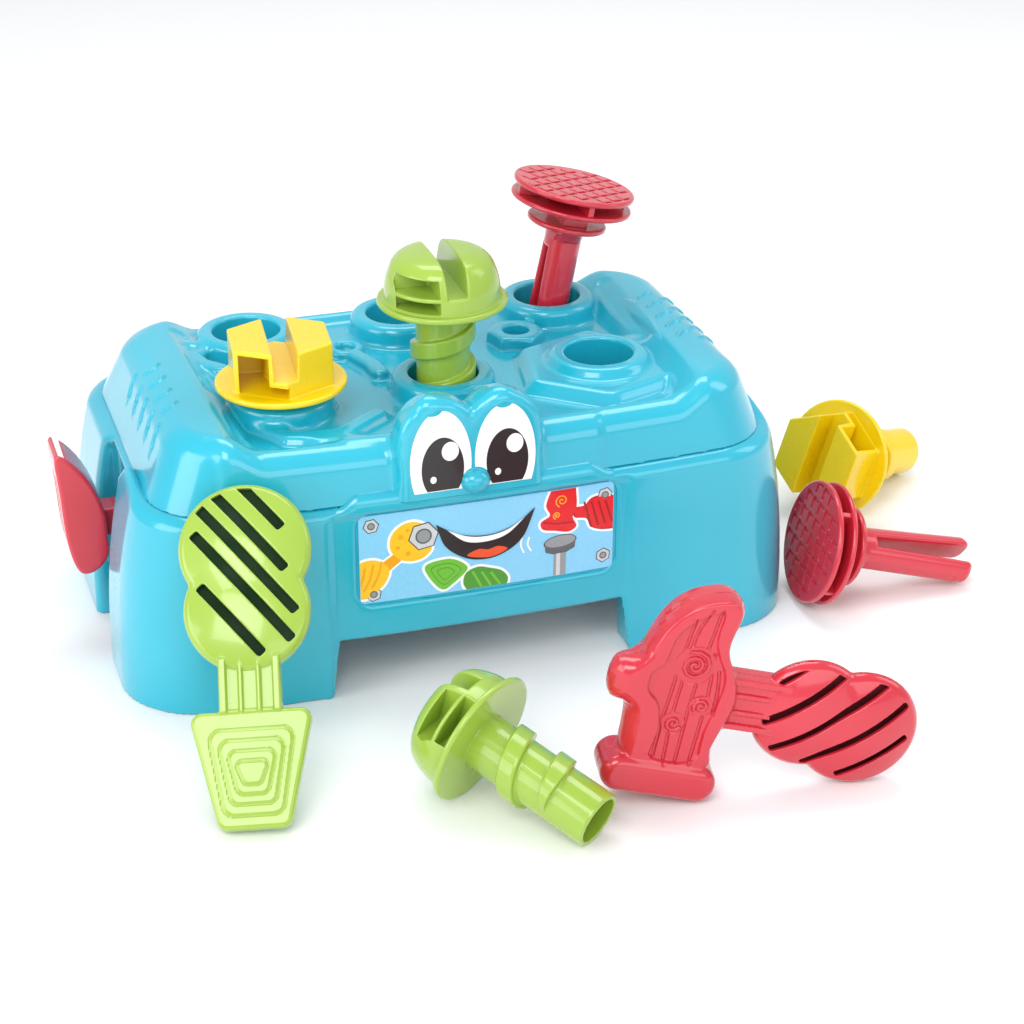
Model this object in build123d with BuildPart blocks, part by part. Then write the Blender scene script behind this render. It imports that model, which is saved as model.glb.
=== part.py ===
from build123d import *
import os
from math import sin, cos, tan, atan2, radians, degrees, hypot

# Toy workbench: a moulded bench on four hollow legs with six peg sockets, a side vice,
# three kinds of peg (hex bolt, dome bolt, nail), a hammer and a screwdriver.
# Millimetres. +Z up. The bench's own centre stands at (BX, BY) on the floor, +X to the
# right seen from the front, +Y to the back.

# ---------------------------------------------------------------- driving dimensions
BX, BY = -55.761, 84.815          # bench centre in the set's frame
WALL = 3.0                    # moulded wall thickness

LEG_H = 100.0                 # leg frame height, seam with the upper casing
FOOT_HW, FOOT_YF, FOOT_YB = 169.0, -101.0, 98.0      # outline at the floor
SEAM_HW, SEAM_YF, SEAM_YB = 159.0, -101.0, 92.0      # outline at the seam
FRONT_BOW = 8.0               # how far the front face bows forward at its middle

CASE_HW0, CASE_YF0, CASE_YB0 = 153.0, -97.0, 84.0    # casing outline at the seam
CASE_HW1, CASE_YF1, CASE_YB1 = 140.0, -91.0, 68.0    # casing outline at the top of the humps
HUMP_Z, LIP_Z, DECK_Z = 134.0, 126.0, 122.0
TRAY_HW = 104.0

COL_X, ROW_Y = 80.0, 40.2     # socket grid
BOSS_R, BOSS_Z = 25.0, 133.0
SOCKET_R, SLEEVE_R, SLEEVE_Z = 17.0, 20.0, 105.0

NOSE_X, NOSE_Z, NOSE_R = -5.2, 107.0, 6.6

WINDOW = (-61.0, 66.0, 47.0, 94.0)                   # x0, x1, z0, z1
BEAM_Z = 28.7
ARCH_HW0, ARCH_HW1 = 75.0, 70.5

RECESS_Y0, RECESS_Y1, RECESS_X = -33.0, 8.0, 152.0   # side recess between the legs

FLANGE_R, FLANGE_T = 31.5, 3.0
SHANK_R, RIDGE_R, SHANK_L, SHANK_BORE = 13.0, 16.0, 64.0, 10.8
HEX_R, HEX_H, HEX_SLOT_W, HEX_SLOT_D = 27.0, 21.5, 11.0, 13.5
DOME_R, DOME_H, DOME_SLOT_W, DOME_SLOT_Z = 28.0, 24.0, 10.0, 8.0
NAIL_L, NAIL_R, NAIL_COLLAR_R = 80.0, 10.0, 20.7
NAIL_FLAT = 9.6               # half depth of its two prongs

SCREW_R, PILOT_R = 1.5, 1.6


# ---------------------------------------------------------------- placing helpers
def level(h):
    return Plane(origin=(BX, BY, h))


def front(y):
    """Sketch plane seen from the front: local x is +X, local y is +Z, normal -Y."""
    return Plane(origin=(BX, BY + y, 0), x_dir=(1, 0, 0), z_dir=(0, -1, 0))


def side(x):
    """Sketch plane across the bench: local x is +Y, local y is +Z, normal +X."""
    return Plane(origin=(BX + x, BY, 0), x_dir=(0, 1, 0), z_dir=(1, 0, 0))


def plan_face(plane, hw, yf, bow, yb, rf, rb):
    """Rounded plan outline with a bowed front edge."""
    with BuildSketch(plane) as sk:
        with BuildLine():
            ThreePointArc((-hw, yf), (0, yf - bow), (hw, yf))
            Polyline((hw, yf), (hw, yb), (-hw, yb), (-hw, yf))
        make_face()
        fillet(sk.vertices().filter_by(lambda v: v.Y < 0), rf)
        fillet(sk.vertices().filter_by(lambda v: v.Y > 0 and abs(abs(v.X) - hw) < 1e-3 and abs(v.Y - yb) < 1e-3), rb)
    return sk.sketch


def axial(plane):
    """Plane through the axis of a turned piece: local x is the radius, local y the axis."""
    return Plane(origin=plane.origin, x_dir=plane.x_dir, z_dir=-plane.y_dir)


# ---------------------------------------------------------------- upper casing
SCREWS = [(-139, -72), (139, -72), (-128, 62), (128, 62), (-62, 72), (62, 72)]

with BuildPart() as upper_casing:
    loft([plan_face(level(LEG_H), CASE_HW0, CASE_YF0, FRONT_BOW, CASE_YB0, 34, 34),
          plan_face(level(HUMP_Z), CASE_HW1, CASE_YF1, FRONT_BOW, CASE_YB1, 32, 32)])
    fillet(upper_casing.faces().sort_by(Axis.Z)[-1].edges(), 9)
    # the deck lies lower than the two end humps, inside a small lip
    with BuildSketch(level(LIP_Z)):
        Rectangle(2 * 112, 260)
    extrude(amount=30, mode=Mode.SUBTRACT)
    with BuildSketch(level(DECK_Z)):
        with Locations((0, -13)):
            RectangleRounded(2 * TRAY_HW, 150, 14)
    extrude(amount=30, mode=Mode.SUBTRACT)
    # hollow underside
    loft([plan_face(level(LEG_H), CASE_HW0 - WALL, CASE_YF0 + WALL, FRONT_BOW, CASE_YB0 - WALL, 31, 31),
          plan_face(level(DECK_Z - WALL), 143.0 - WALL, -92.0 + WALL, FRONT_BOW, 72.0 - WALL, 29, 29)],
         mode=Mode.SUBTRACT)
    with BuildSketch(level(DECK_Z - WALL)):
        with Locations((-123, -14), (123, -14)):
            RectangleRounded(18, 118, 8)
    extrude(amount=HUMP_Z - WALL - DECK_Z + WALL, mode=Mode.SUBTRACT)
    # six bosses with sleeves below the deck
    with BuildSketch(level(DECK_Z - WALL)):
        with GridLocations(COL_X, 2 * ROW_Y, 3, 2):
            Circle(BOSS_R)
    extrude(amount=BOSS_Z - DECK_Z + WALL)
    with BuildSketch(level(SLEEVE_Z)):
        with GridLocations(COL_X, 2 * ROW_Y, 3, 2):
            Circle(SLEEVE_R)
    extrude(amount=DECK_Z - SLEEVE_Z)
    # nut relief round the front right boss, and a small nut relief on the deck
    with BuildSketch(level(DECK_Z - 1)):
        with Locations((COL_X, -ROW_Y)):
            RegularPolygon(45, 6, rotation=19.4)
        with Locations((53, 9)):
            RegularPolygon(15, 6, rotation=14)
            Circle(6.5, mode=Mode.SUBTRACT)
    extrude(amount=6)
    # brow plate that carries the eye labels
    with BuildSketch(front(-110)):
        with Locations((-21.8, 129.4), (8.4, 129.4)):
            Circle(19.4)
        with Locations((-6.7, 114.7)):
            Rectangle(69, 29.4)
    extrude(amount=-22)
    # round nose
    with BuildSketch(front(-109.3)):
        with Locations((NOSE_X, NOSE_Z)):
            Circle(NOSE_R)
    extrude(amount=6.7)
    # socket holes
    with BuildSketch(level(SLEEVE_Z - 1)):
        with GridLocations(COL_X, 2 * ROW_Y, 3, 2):
            Circle(SOCKET_R)
    extrude(amount=40, mode=Mode.SUBTRACT)
    # screw posts
    with BuildSketch(level(LEG_H)):
        with Locations(*SCREWS):
            Circle(4.6)
    extrude(amount=DECK_Z - WALL - LEG_H + 0.5)
    with BuildSketch(level(LEG_H)):
        with Locations(*SCREWS):
            Circle(PILOT_R)
    extrude(amount=15, mode=Mode.SUBTRACT)

# ---------------------------------------------------------------- leg frame
with BuildPart() as leg_frame:
    loft([plan_face(level(0), FOOT_HW, FOOT_YF, FRONT_BOW, FOOT_YB, 38, 38),
          plan_face(level(LEG_H), SEAM_HW, SEAM_YF, FRONT_BOW, SEAM_YB, 38, 38)])
    fillet(leg_frame.faces().sort_by(Axis.Z)[-1].edges(), 5)
    loft([plan_face(level(0), FOOT_HW - WALL, FOOT_YF + WALL, FRONT_BOW, FOOT_YB - WALL, 35, 35),
          plan_face(level(LEG_H - WALL), SEAM_HW - WALL, SEAM_YF + WALL, FRONT_BOW, SEAM_YB - WALL, 35, 35)],
         mode=Mode.SUBTRACT)
    # opening in the top plate, under the casing
    with BuildSketch(level(LEG_H - WALL - 1)):
        with Locations((0, -11)):
            RectangleRounded(2 * 130, 2 * 74, 30)
    extrude(amount=10, mode=Mode.SUBTRACT)
    # stiffening returns beside the front and back arches, and a flange under the beam
    with BuildSketch(level(0)):
        with Locations((-76.5, -97), (76.5, -97), (-76.5, 86), (76.5, 86)):
            Rectangle(3, 20)
    extrude(amount=LEG_H - WALL)
    with BuildSketch(level(BEAM_Z)):
        with Locations((0, -102)):
            Rectangle(150, 10)
    extrude(amount=3)
    # side recesses between the legs: a pocket wall set in from each side
    with BuildSketch(level(30)):
        with Locations((-155.5, -12.5), (155.5, -12.5)):
            Rectangle(13, 49)
    extrude(amount=LEG_H - WALL - 30)
    with BuildSketch(level(-1)):
        with Locations((-RECESS_X - 15, (RECESS_Y0 + RECESS_Y1) / 2), (RECESS_X + 15, (RECESS_Y0 + RECESS_Y1) / 2)):
            Rectangle(30, RECESS_Y1 - RECESS_Y0)
    extrude(amount=LEG_H - 4, mode=Mode.SUBTRACT)
    with BuildSketch(side(-180)):
        with Locations(((RECESS_Y0 + RECESS_Y1) / 2, 14)):
            Rectangle(RECESS_Y1 - RECESS_Y0, 32)
    extrude(amount=360, mode=Mode.SUBTRACT)
    # window, front arch and back arch
    with BuildSketch(front(-80)) as win:
        with Locations(((WINDOW[0] + WINDOW[1]) / 2, (WINDOW[2] + WINDOW[3]) / 2)):
            RectangleRounded(WINDOW[1] - WINDOW[0], WINDOW[3] - WINDOW[2], 7)
    extrude(amount=40, mode=Mode.SUBTRACT)
    with BuildSketch(front(-80)) as arch:
        with BuildLine():
            Polyline((-ARCH_HW0, -5), (ARCH_HW0, -5), (ARCH_HW1, BEAM_Z), (-ARCH_HW1, BEAM_Z), close=True)
        make_face()
        fillet(arch.vertices().filter_by(lambda v: v.Y > 0), 8)
    extrude(amount=40, mode=Mode.SUBTRACT)
    with BuildSketch(front(110)) as back_arch:
        with BuildLine():
            Polyline((-ARCH_HW0, -5), (ARCH_HW0, -5), (ARCH_HW1, 46), (-ARCH_HW1, 46), close=True)
        make_face()
        fillet(back_arch.vertices().filter_by(lambda v: v.Y > 0), 14)
    extrude(amount=40, mode=Mode.SUBTRACT)
    # guide slot of the vice, through the left recess wall
    with BuildSketch(side(-160)):
        with Locations((-10, 64)):
            Rectangle(15, 16)
    extrude(amount=16, mode=Mode.SUBTRACT)
    # clearance holes for the casing screws
    with BuildSketch(level(LEG_H - WALL - 1)):
        with Locations(*SCREWS):
            Circle(2.0)
    extrude(amount=10, mode=Mode.SUBTRACT)

with BuildPart() as casing_screws:
    with BuildSketch(level(LEG_H - WALL - 2.4)):
        with Locations(*SCREWS):
            Circle(3.6)
    extrude(amount=2.4)
    with BuildSketch(level(LEG_H - WALL)):
        with Locations(*SCREWS):
            Circle(SCREW_R)
    extrude(amount=13)

# ---------------------------------------------------------------- window panel and labels
def bowed_strip(plane, x0, x1, gap, t):
    """Plan of a strip that follows the bowed front, gap inside the outer face, t thick."""
    def y(x, g):
        return SEAM_YF - FRONT_BOW * (1 - (x / SEAM_HW) ** 2) + g
    xm = (x0 + x1) / 2
    with BuildSketch(plane) as sk:
        with BuildLine():
            ThreePointArc((x0, y(x0, gap)), (xm, y(xm, gap)), (x1, y(x1, gap)))
            Line((x1, y(x1, gap)), (x1, y(x1, gap + t)))
            ThreePointArc((x1, y(x1, gap + t)), (xm, y(xm, gap + t)), (x0, y(x0, gap + t)))
            Line((x0, y(x0, gap + t)), (x0, y(x0, gap)))
        make_face()
    return sk.sketch


with BuildPart() as window_panel:
    extrude(bowed_strip(level(41), -68, 72, WALL + 0.6, 2.0), amount=55.0)

with BuildPart() as panel_label:
    extrude(bowed_strip(level(47.5), -60.5, 65.5, WALL + 0.1, 0.45), amount=46.0)


def eye(x):
    with BuildPart() as b:
        with BuildSketch(front(-110)) as sk:
            with Locations((x, 117.5)):
                Ellipse(14.7, 27)
            with Locations((x, 96)):
                Rectangle(40, 16, mode=Mode.SUBTRACT)
            with Locations((NOSE_X, NOSE_Z)):
                Circle(NOSE_R + 0.5, mode=Mode.SUBTRACT)
        extrude(amount=0.5)
    return b


eye_label_left = eye(-21.9)
eye_label_right = eye(9.2)

# ---------------------------------------------------------------- vice
JAW_Y0, JAW_Y1 = -23.0, 3.0

with BuildPart() as vice_jaw:
    with BuildSketch(front(JAW_Y1)) as d:
        with BuildLine():
            Polyline((-188, 104), (-185.5, 62), (-182.5, 46), (-178.5, 40))
            ThreePointArc((-178.5, 40), (-169, 43), (-165, 49))
            Line((-165, 49), (-165, 68))
            ThreePointArc((-165, 68), (-170, 86), (-183, 104))
            Line((-183, 104), (-188, 104))
        make_face()
    extrude(amount=JAW_Y1 - JAW_Y0)
    # scooped out from the top and back, walls left all round
    with BuildSketch(front(JAW_Y1 + 1)):
        with BuildLine():
            Polyline((-185.4, 110), (-183, 62), (-180.4, 48), (-178, 43), close=False)
            ThreePointArc((-178, 43), (-171, 45.2), (-167.6, 50.5))
            Line((-167.6, 50.5), (-167.6, 67))
            ThreePointArc((-167.6, 67), (-172.5, 85), (-183.6, 101.6))
            Line((-183.6, 101.6), (-185.4, 110))
        make_face()
    extrude(amount=JAW_Y1 - JAW_Y0 + 1 - 2.6, mode=Mode.SUBTRACT)
    # grip slots in the outer plate
    with BuildSketch(side(-195)):
        with Locations((-15.5, 72), (-7.5, 72)):
            SlotOverall(40, 3, rotation=90)
    extrude(amount=14, mode=Mode.SUBTRACT)
    # square neck that slides in the guide
    with BuildSketch(side(-166.5)):
        with Locations((-10, 64)):
            Rectangle(13.6, 14.6)
    extrude(amount=34.5)
    with BuildSketch(side(-132)):
        with Locations((-10, 64)):
            Circle(PILOT_R)
    extrude(amount=-12, mode=Mode.SUBTRACT)

with BuildPart() as vice_stop:
    with BuildSketch(side(-132)):
        with Locations((-10, 64)):
            RectangleRounded(24, 25, 3)
            Circle(2.0, mode=Mode.SUBTRACT)
    extrude(amount=3)

with BuildPart() as vice_stop_screw:
    with BuildSketch(side(-129)):
        with Locations((-10, 64)):
            Circle(3.6)
    extrude(amount=2.4)
    with BuildSketch(side(-139)):
        with Locations((-10, 64)):
            Circle(SCREW_R)
    extrude(amount=10)


# ---------------------------------------------------------------- pegs
def shank(plane):
    """Profile of the flange and the hollow shank with two raised thread bands."""
    with BuildSketch(axial(plane)) as sk:
        with BuildLine():
            Polyline((SHANK_BORE, -SHANK_L), (SHANK_R, -SHANK_L), (SHANK_R, -42), (RIDGE_R, -41), (RIDGE_R, -33),
                     (SHANK_R, -32), (SHANK_R, -20), (RIDGE_R, -19), (RIDGE_R, -11), (SHANK_R, -10), (SHANK_R, 0),
                     (FLANGE_R, 0), (FLANGE_R, FLANGE_T), (0, FLANGE_T), (0, -6), (SHANK_BORE, -6), close=True)
        make_face()
    return sk.sketch


def hex_bolt(plane):
    with BuildPart() as b:
        revolve(shank(plane), axis=Axis(plane.origin, plane.z_dir))
        with BuildSketch(plane.offset(FLANGE_T)):
            RegularPolygon(HEX_R, 6, rotation=30)
        extrude(amount=HEX_H)
        with BuildSketch(plane.offset(FLANGE_T + HEX_H - HEX_SLOT_D)):
            Rectangle(HEX_SLOT_W, 80)
        extrude(amount=40, mode=Mode.SUBTRACT)
        # each half is cored from one side, leaving walls beside and under the slot
        with BuildSketch(plane.offset(FLANGE_T)):
            with Locations((-14.2, -12)):
                Rectangle(12.4, 40)
            with Locations((14.2, 12)):
                Rectangle(12.4, 40)
        extrude(amount=HEX_H - 2.6, mode=Mode.SUBTRACT)
        with BuildSketch(plane.offset(FLANGE_T)):
            with Locations((-5, -16)):
                Rectangle(8, 32)
            with Locations((5, 16)):
                Rectangle(8, 32)
        extrude(amount=HEX_H - HEX_SLOT_D - 3.5, mode=Mode.SUBTRACT)
    return b


def dome_bolt(plane):
    with BuildPart() as b:
        revolve(shank(plane), axis=Axis(plane.origin, plane.z_dir))
        with BuildSketch(axial(plane)):
            with BuildLine():
                Polyline((0, FLANGE_T), (DOME_R, FLANGE_T), (DOME_R - 0.5, FLANGE_T + 11))
                ThreePointArc((DOME_R - 0.5, FLANGE_T + 11), (DOME_R - 4.6, FLANGE_T + 19.3), (14, FLANGE_T + DOME_H - 0.8))
                Polyline((14, FLANGE_T + DOME_H - 0.8), (0, FLANGE_T + DOME_H), (0, FLANGE_T))
            make_face()
        revolve(axis=Axis(plane.origin, plane.z_dir))
        with BuildSketch(plane.offset(FLANGE_T + DOME_SLOT_Z)):
            Rectangle(DOME_SLOT_W, 80)
        extrude(amount=40, mode=Mode.SUBTRACT)
        for h, d in ((1.0, 5.5), (8.5, 8.0)):
            with BuildSketch(plane.offset(FLANGE_T + h)):
                with Locations((-16.8, -19)):
                    Rectangle(17.2, 28)
                with Locations((16.8, 19)):
                    Rectangle(17.2, 28)
            extrude(amount=d, mode=Mode.SUBTRACT)
    return b


def nail(plane):
    """Double-disc head, neck block, collar and forked shank; the origin is under the head."""
    with BuildPart() as b:
        with BuildSketch(axial(plane)):
            with BuildLine():
                Polyline((0, 7.6), (FLANGE_R - 1, 7.6), (FLANGE_R, 8.4), (FLANGE_R, 9.8), (FLANGE_R - 1, 10.6), (0, 10.6), close=True)
            make_face()
        revolve(axis=Axis(plane.origin, plane.z_dir))
        with BuildSketch(plane):
            Circle(FLANGE_R)
        extrude(amount=2.6)
        with BuildSketch(plane.offset(2.6)):
            with PolarLocations(0, 2, angular_range=180):
                Rectangle(2 * FLANGE_R - 3, 3)
        extrude(amount=5.0)
        with BuildSketch(plane.offset(-8)):
            Rectangle(27, 13)
        extrude(amount=8)
        with BuildSketch(plane.offset(-11)):
            Circle(NAIL_COLLAR_R)
        extrude(amount=3)
        with BuildSketch(axial(plane)):
            with BuildLine():
                Polyline((0, -11), (14.5, -11), (10.6, -18.5), (NAIL_R + 2.4, -NAIL_L + 6), (NAIL_R + 1.2, -NAIL_L + 2.4),
                         (NAIL_R - 2, -NAIL_L), (0, -NAIL_L), close=True)
            make_face()
        revolve(axis=Axis(plane.origin, plane.z_dir))
        with BuildSketch(plane.offset(-11)):
            with Locations((0, NAIL_FLAT + 10), (0, -NAIL_FLAT - 10)):
                Rectangle(60, 20)
        extrude(amount=-NAIL_L, mode=Mode.SUBTRACT)
        with BuildSketch(axial(plane).offset(-30)):
            with Locations((0, -24 - 40)):
                Rectangle(6, 80)
        extrude(amount=60, mode=Mode.SUBTRACT)
    return b


def socket(cx, cy, h):
    return Plane(origin=(BX + cx, BY + cy, h), x_dir=(1, 0, 0), z_dir=(0, 0, 1))


YELLOW_Z, GREEN_Z = 136.6, 168.6
yellow_bolt_seated = hex_bolt(Plane(origin=(BX - COL_X, BY - ROW_Y, YELLOW_Z), x_dir=(cos(radians(-6)), sin(radians(-6)), 0), z_dir=(0, 0, 1)))
green_bolt_raised = dome_bolt(socket(0, -ROW_Y, GREEN_Z))

NAIL_TILT = 12.0
nail_axis = (sin(radians(NAIL_TILT)), 0, cos(radians(NAIL_TILT)))
NAIL_X = 82.4                 # where its axis crosses the socket's mouth
NAIL_UP = 49.0                # from the socket's mouth to the underside of the head
red_nail_raised = nail(Plane(origin=(BX + NAIL_X + NAIL_UP * nail_axis[0], BY + ROW_Y, BOSS_Z + NAIL_UP * nail_axis[2]),
                             x_dir=(0, 1, 0), z_dir=nail_axis))


def lying(x, y, azimuth, r_head, r_end, length, roll):
    """Plane under a head that lies on its rim and its shank's end, shank towards azimuth."""
    el = atan2(r_head - r_end, length)
    d = Vector(cos(el) * cos(radians(azimuth)), cos(el) * sin(radians(azimuth)), -sin(el))
    a = Vector(-d.X, -d.Y, -d.Z)
    w = (Vector(0, 0, 1) - a * a.Z).normalized()
    h = a.cross(w)
    yd = w * cos(radians(roll)) + h * sin(radians(roll))
    xd = yd.cross(a)
    return Plane(origin=(BX + x, BY + y, r_head * cos(el)), x_dir=xd, z_dir=a)


yellow_bolt_loose = hex_bolt(lying(239.1, 6.9, 30.1, FLANGE_R, SHANK_R, SHANK_L, -8))
green_bolt_loose = dome_bolt(lying(-32.7, -209.9, -53.6, FLANGE_R, SHANK_R, SHANK_L, 176))
red_nail_loose = nail(lying(190.5, -86.0, -3.6, FLANGE_R, 12.5, NAIL_L - 6, -35))

# ---------------------------------------------------------------- hammer
HAMMER_T = 9.0                # half thickness of the head
hx = (0.983, -0.182, 0)
hammer_mid = Plane(origin=(BX + 51, BY - 232, 0), x_dir=hx, z_dir=(-0.182, -0.983, 0))
HEAD = [(-27.5, 24), (-27.6, 32), (-26.2, 41), (-25.8, 51.2), (-32.2, 55), (-33, 64), (-28.8, 73), (-19.4, 74.4), (-15.2, 82),
        (-8.3, 91), (2.1, 98.6), (14.6, 101.2), (22.6, 99.6), (26, 94.4), (23.4, 86), (20.1, 78.2), (20.0, 71),
        (23.5, 58.6), (23.9, 48.8), (20, 39), (13.9, 26.7), (11.5, 16)]


def hammer_half(s):
    """Half of the hammer on one side of its parting plane; s is +1 front, -1 back."""
    with BuildPart() as b:
        with BuildSketch(hammer_mid) as sk:
            with BuildLine():
                Polyline(*HEAD, close=True)
            make_face()
            with BuildLine():
                Polyline((-35.5, 27), (13.5, 17.5), (15.2, 4.5), (9, 0.3), (-8, 4), (-30, 9.5), (-36.8, 15), close=True)
            make_face()
        extrude(amount=s * HAMMER_T)
        with BuildSketch(hammer_mid):
            with BuildLine():
                Polyline((18, 62), (44, 55), (40, 29), (16, 38), close=True)
            make_face()
        extrude(amount=s * 6)
        with BuildSketch(hammer_mid):
            with Locations((57.6, 37.6)):
                Circle(26.5)
            with Locations((80.0, 28.2)):
                Circle(28.0)
        extrude(amount=s * 9)
        # hollow behind the face, and five slots through the grip
        with BuildSketch(hammer_mid):
            with BuildLine():
                Polyline((-22, 30), (-22, 52), (-28, 62), (-18, 72), (-4, 88.6), (12, 95.8), (20, 94.4), (16, 78), (18, 60), (18, 48), (8, 24), close=True)
            make_face()
            with Locations((57.6, 37.6)):
                Circle(23.8)
            with Locations((80.0, 28.2)):
                Circle(25.3)
        extrude(amount=s * 6.6, mode=Mode.SUBTRACT)
        with BuildSketch(hammer_mid.offset(s * 5)):
            for cx, cy, ln in SLOTS_H:
                with Locations((cx, cy)):
                    SlotOverall(ln, 3.6, rotation=29)
        extrude(amount=s * 10, mode=Mode.SUBTRACT)
        # a web across the grip on the parting plane
        with BuildSketch(hammer_mid):
            with Locations((57.6, 37.6)):
                Circle(25.0)
            with Locations((80.0, 28.2)):
                Circle(26.5)
        extrude(amount=s * 0.8)
        with BuildSketch(hammer_mid):
            with Locations(*H_SCREWS):
                Circle(3.2 if s > 0 else 5.4)
                Circle(PILOT_R, mode=Mode.SUBTRACT)
        extrude(amount=s * 8)
        if s > 0:
            with BuildSketch(hammer_mid):
                with Locations(*H_SCREWS):
                    Circle(PILOT_R)
            extrude(amount=7, mode=Mode.SUBTRACT)
        else:
            with BuildSketch(hammer_mid.offset(-20)):
                with Locations(*H_SCREWS):
                    Circle(2.0)
            extrude(amount=20, mode=Mode.SUBTRACT)
            with BuildSketch(hammer_mid.offset(-20)):
                with Locations(*H_SCREWS):
                    Circle(3.9)
            extrude(amount=14, mode=Mode.SUBTRACT)
    return b


SLOTS_H = [(48.3, 58.6, 19), (54.6, 47.2, 42), (66.5, 37.5, 58), (77.8, 27.5, 52), (86, 16, 34)]
H_SCREWS = [(-12, 40), (2, 82), (69, 14.5)]
hammer_front_shell = hammer_half(1)
hammer_back_shell = hammer_half(-1)
with BuildPart() as hammer_screws:
    with BuildSketch(hammer_mid.offset(-6)):
        with Locations(*H_SCREWS):
            Circle(3.5)
    extrude(amount=-2.2)
    with BuildSketch(hammer_mid.offset(-6)):
        with Locations(*H_SCREWS):
            Circle(SCREW_R)
    extrude(amount=12)

# ---------------------------------------------------------------- screwdriver
SD_LEAN = 48.0
SD_ROLL = -3.84
e1 = Vector(0.953, -0.304, 0)
hb = Vector(0.304, 0.953, 0)
e2 = hb * cos(radians(SD_LEAN)) + Vector(0, 0, 1) * sin(radians(SD_LEAN))
sd_y = e2 * cos(radians(SD_ROLL)) + e1 * sin(radians(SD_ROLL))
sd_x = e1 * cos(radians(SD_ROLL)) - e2 * sin(radians(SD_ROLL))
SD_T = 8.0
driver_mid = Plane(origin=(BX - 135.9, BY - 210.8, 0), x_dir=sd_x, z_dir=sd_x.cross(sd_y))
SLOTS_D = [(6.5, 149.5, 29), (0, 140.0, 52), (-1.5, 126, 66), (-2.5, 112, 62), (-6, 96, 38)]
D_SCREWS = [(0, 118), (0, 67)]


def driver_half(s):
    with BuildPart() as b:
        with BuildSketch(driver_mid) as sk:
            with BuildLine():
                Polyline((-16.3, 4.6), (16.3, 4.6), (26.7, 55), (22, 58.5), (-22, 58.5), (-26.7, 55), close=True)
            make_face()
            fillet(sk.vertices().filter_by(lambda v: v.Y < 10), 5)
        extrude(amount=s * 4.0)
        with BuildSketch(driver_mid):
            with Locations((0, 68)):
                Rectangle(27.6, 24)
        extrude(amount=s * 5.0)
        with BuildSketch(driver_mid):
            with Locations((0, 102)):
                Circle(28.3)
            with Locations((0, 130)):
                Circle(29.7)
        extrude(amount=s * SD_T)
        with BuildSketch(driver_mid):
            with Locations((0, 102)):
                Circle(25.7)
            with Locations((0, 130)):
                Circle(27.1)
        extrude(amount=s * 5.6, mode=Mode.SUBTRACT)
        with BuildSketch(driver_mid):
            with BuildLine():
                Polyline((-12, 10), (12, 10), (21, 52), (-21, 52), close=True)
            make_face()
        extrude(amount=s * 2.0, mode=Mode.SUBTRACT)
        with BuildSketch(driver_mid.offset(s * 4)):
            for cx, cy, ln in SLOTS_D:
                with Locations((cx, cy)):
                    SlotOverall(ln, 4.0, rotation=-50)
        extrude(amount=s * 10, mode=Mode.SUBTRACT)
        # a web across the grip on the parting plane
        with BuildSketch(driver_mid):
            with Locations((0, 102)):
                Circle(26.8)
            with Locations((0, 130)):
                Circle(28.2)
        extrude(amount=s * 0.8)
        with BuildSketch(driver_mid):
            with Locations(*D_SCREWS):
                Circle(3.2 if s > 0 else 5.4)
                Circle(PILOT_R, mode=Mode.SUBTRACT)
        extrude(amount=s * 5.0)
        with BuildSketch(driver_mid):
            with Locations(D_SCREWS[0]):
                Circle(3.2 if s > 0 else 5.4)
                Circle(PILOT_R, mode=Mode.SUBTRACT)
        extrude(amount=s * 7.0)
        if s < 0:
            with BuildSketch(driver_mid.offset(-20)):
                with Locations(*D_SCREWS):
                    Circle(2.0)
            extrude(amount=20, mode=Mode.SUBTRACT)
            with BuildSketch(driver_mid.offset(-20)):
                with Locations(*D_SCREWS):
                    Circle(3.9)
            extrude(amount=17, mode=Mode.SUBTRACT)
        else:
            with BuildSketch(driver_mid):
                with Locations(*D_SCREWS):
                    Circle(PILOT_R)
            extrude(amount=4, mode=Mode.SUBTRACT)
    return b


screwdriver_front_shell = driver_half(1)
screwdriver_back_shell = driver_half(-1)
with BuildPart() as screwdriver_screws:
    with BuildSketch(driver_mid.offset(-3)):
        with Locations(*D_SCREWS):
            Circle(3.5)
    extrude(amount=-2.0)
    with BuildSketch(driver_mid.offset(-3)):
        with Locations(*D_SCREWS):
            Circle(SCREW_R)
    extrude(amount=6.5)

# ---------------------------------------------------------------- export
pieces = {
    "upper_casing": upper_casing, "leg_frame": leg_frame, "casing_screws": casing_screws,
    "window_panel": window_panel, "panel_label": panel_label,
    "eye_label_left": eye_label_left, "eye_label_right": eye_label_right,
    "vice_jaw": vice_jaw, "vice_stop": vice_stop, "vice_stop_screw": vice_stop_screw,
    "yellow_bolt_seated": yellow_bolt_seated, "green_bolt_raised": green_bolt_raised,
    "red_nail_raised": red_nail_raised, "yellow_bolt_loose": yellow_bolt_loose,
    "green_bolt_loose": green_bolt_loose, "red_nail_loose": red_nail_loose,
    "hammer_front_shell": hammer_front_shell, "hammer_back_shell": hammer_back_shell,
    "hammer_screws": hammer_screws,
    "screwdriver_front_shell": screwdriver_front_shell,
    "screwdriver_back_shell": screwdriver_back_shell, "screwdriver_screws": screwdriver_screws,
}
os.makedirs("parts", exist_ok=True)
lo, hi = [1e9] * 3, [-1e9] * 3
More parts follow.
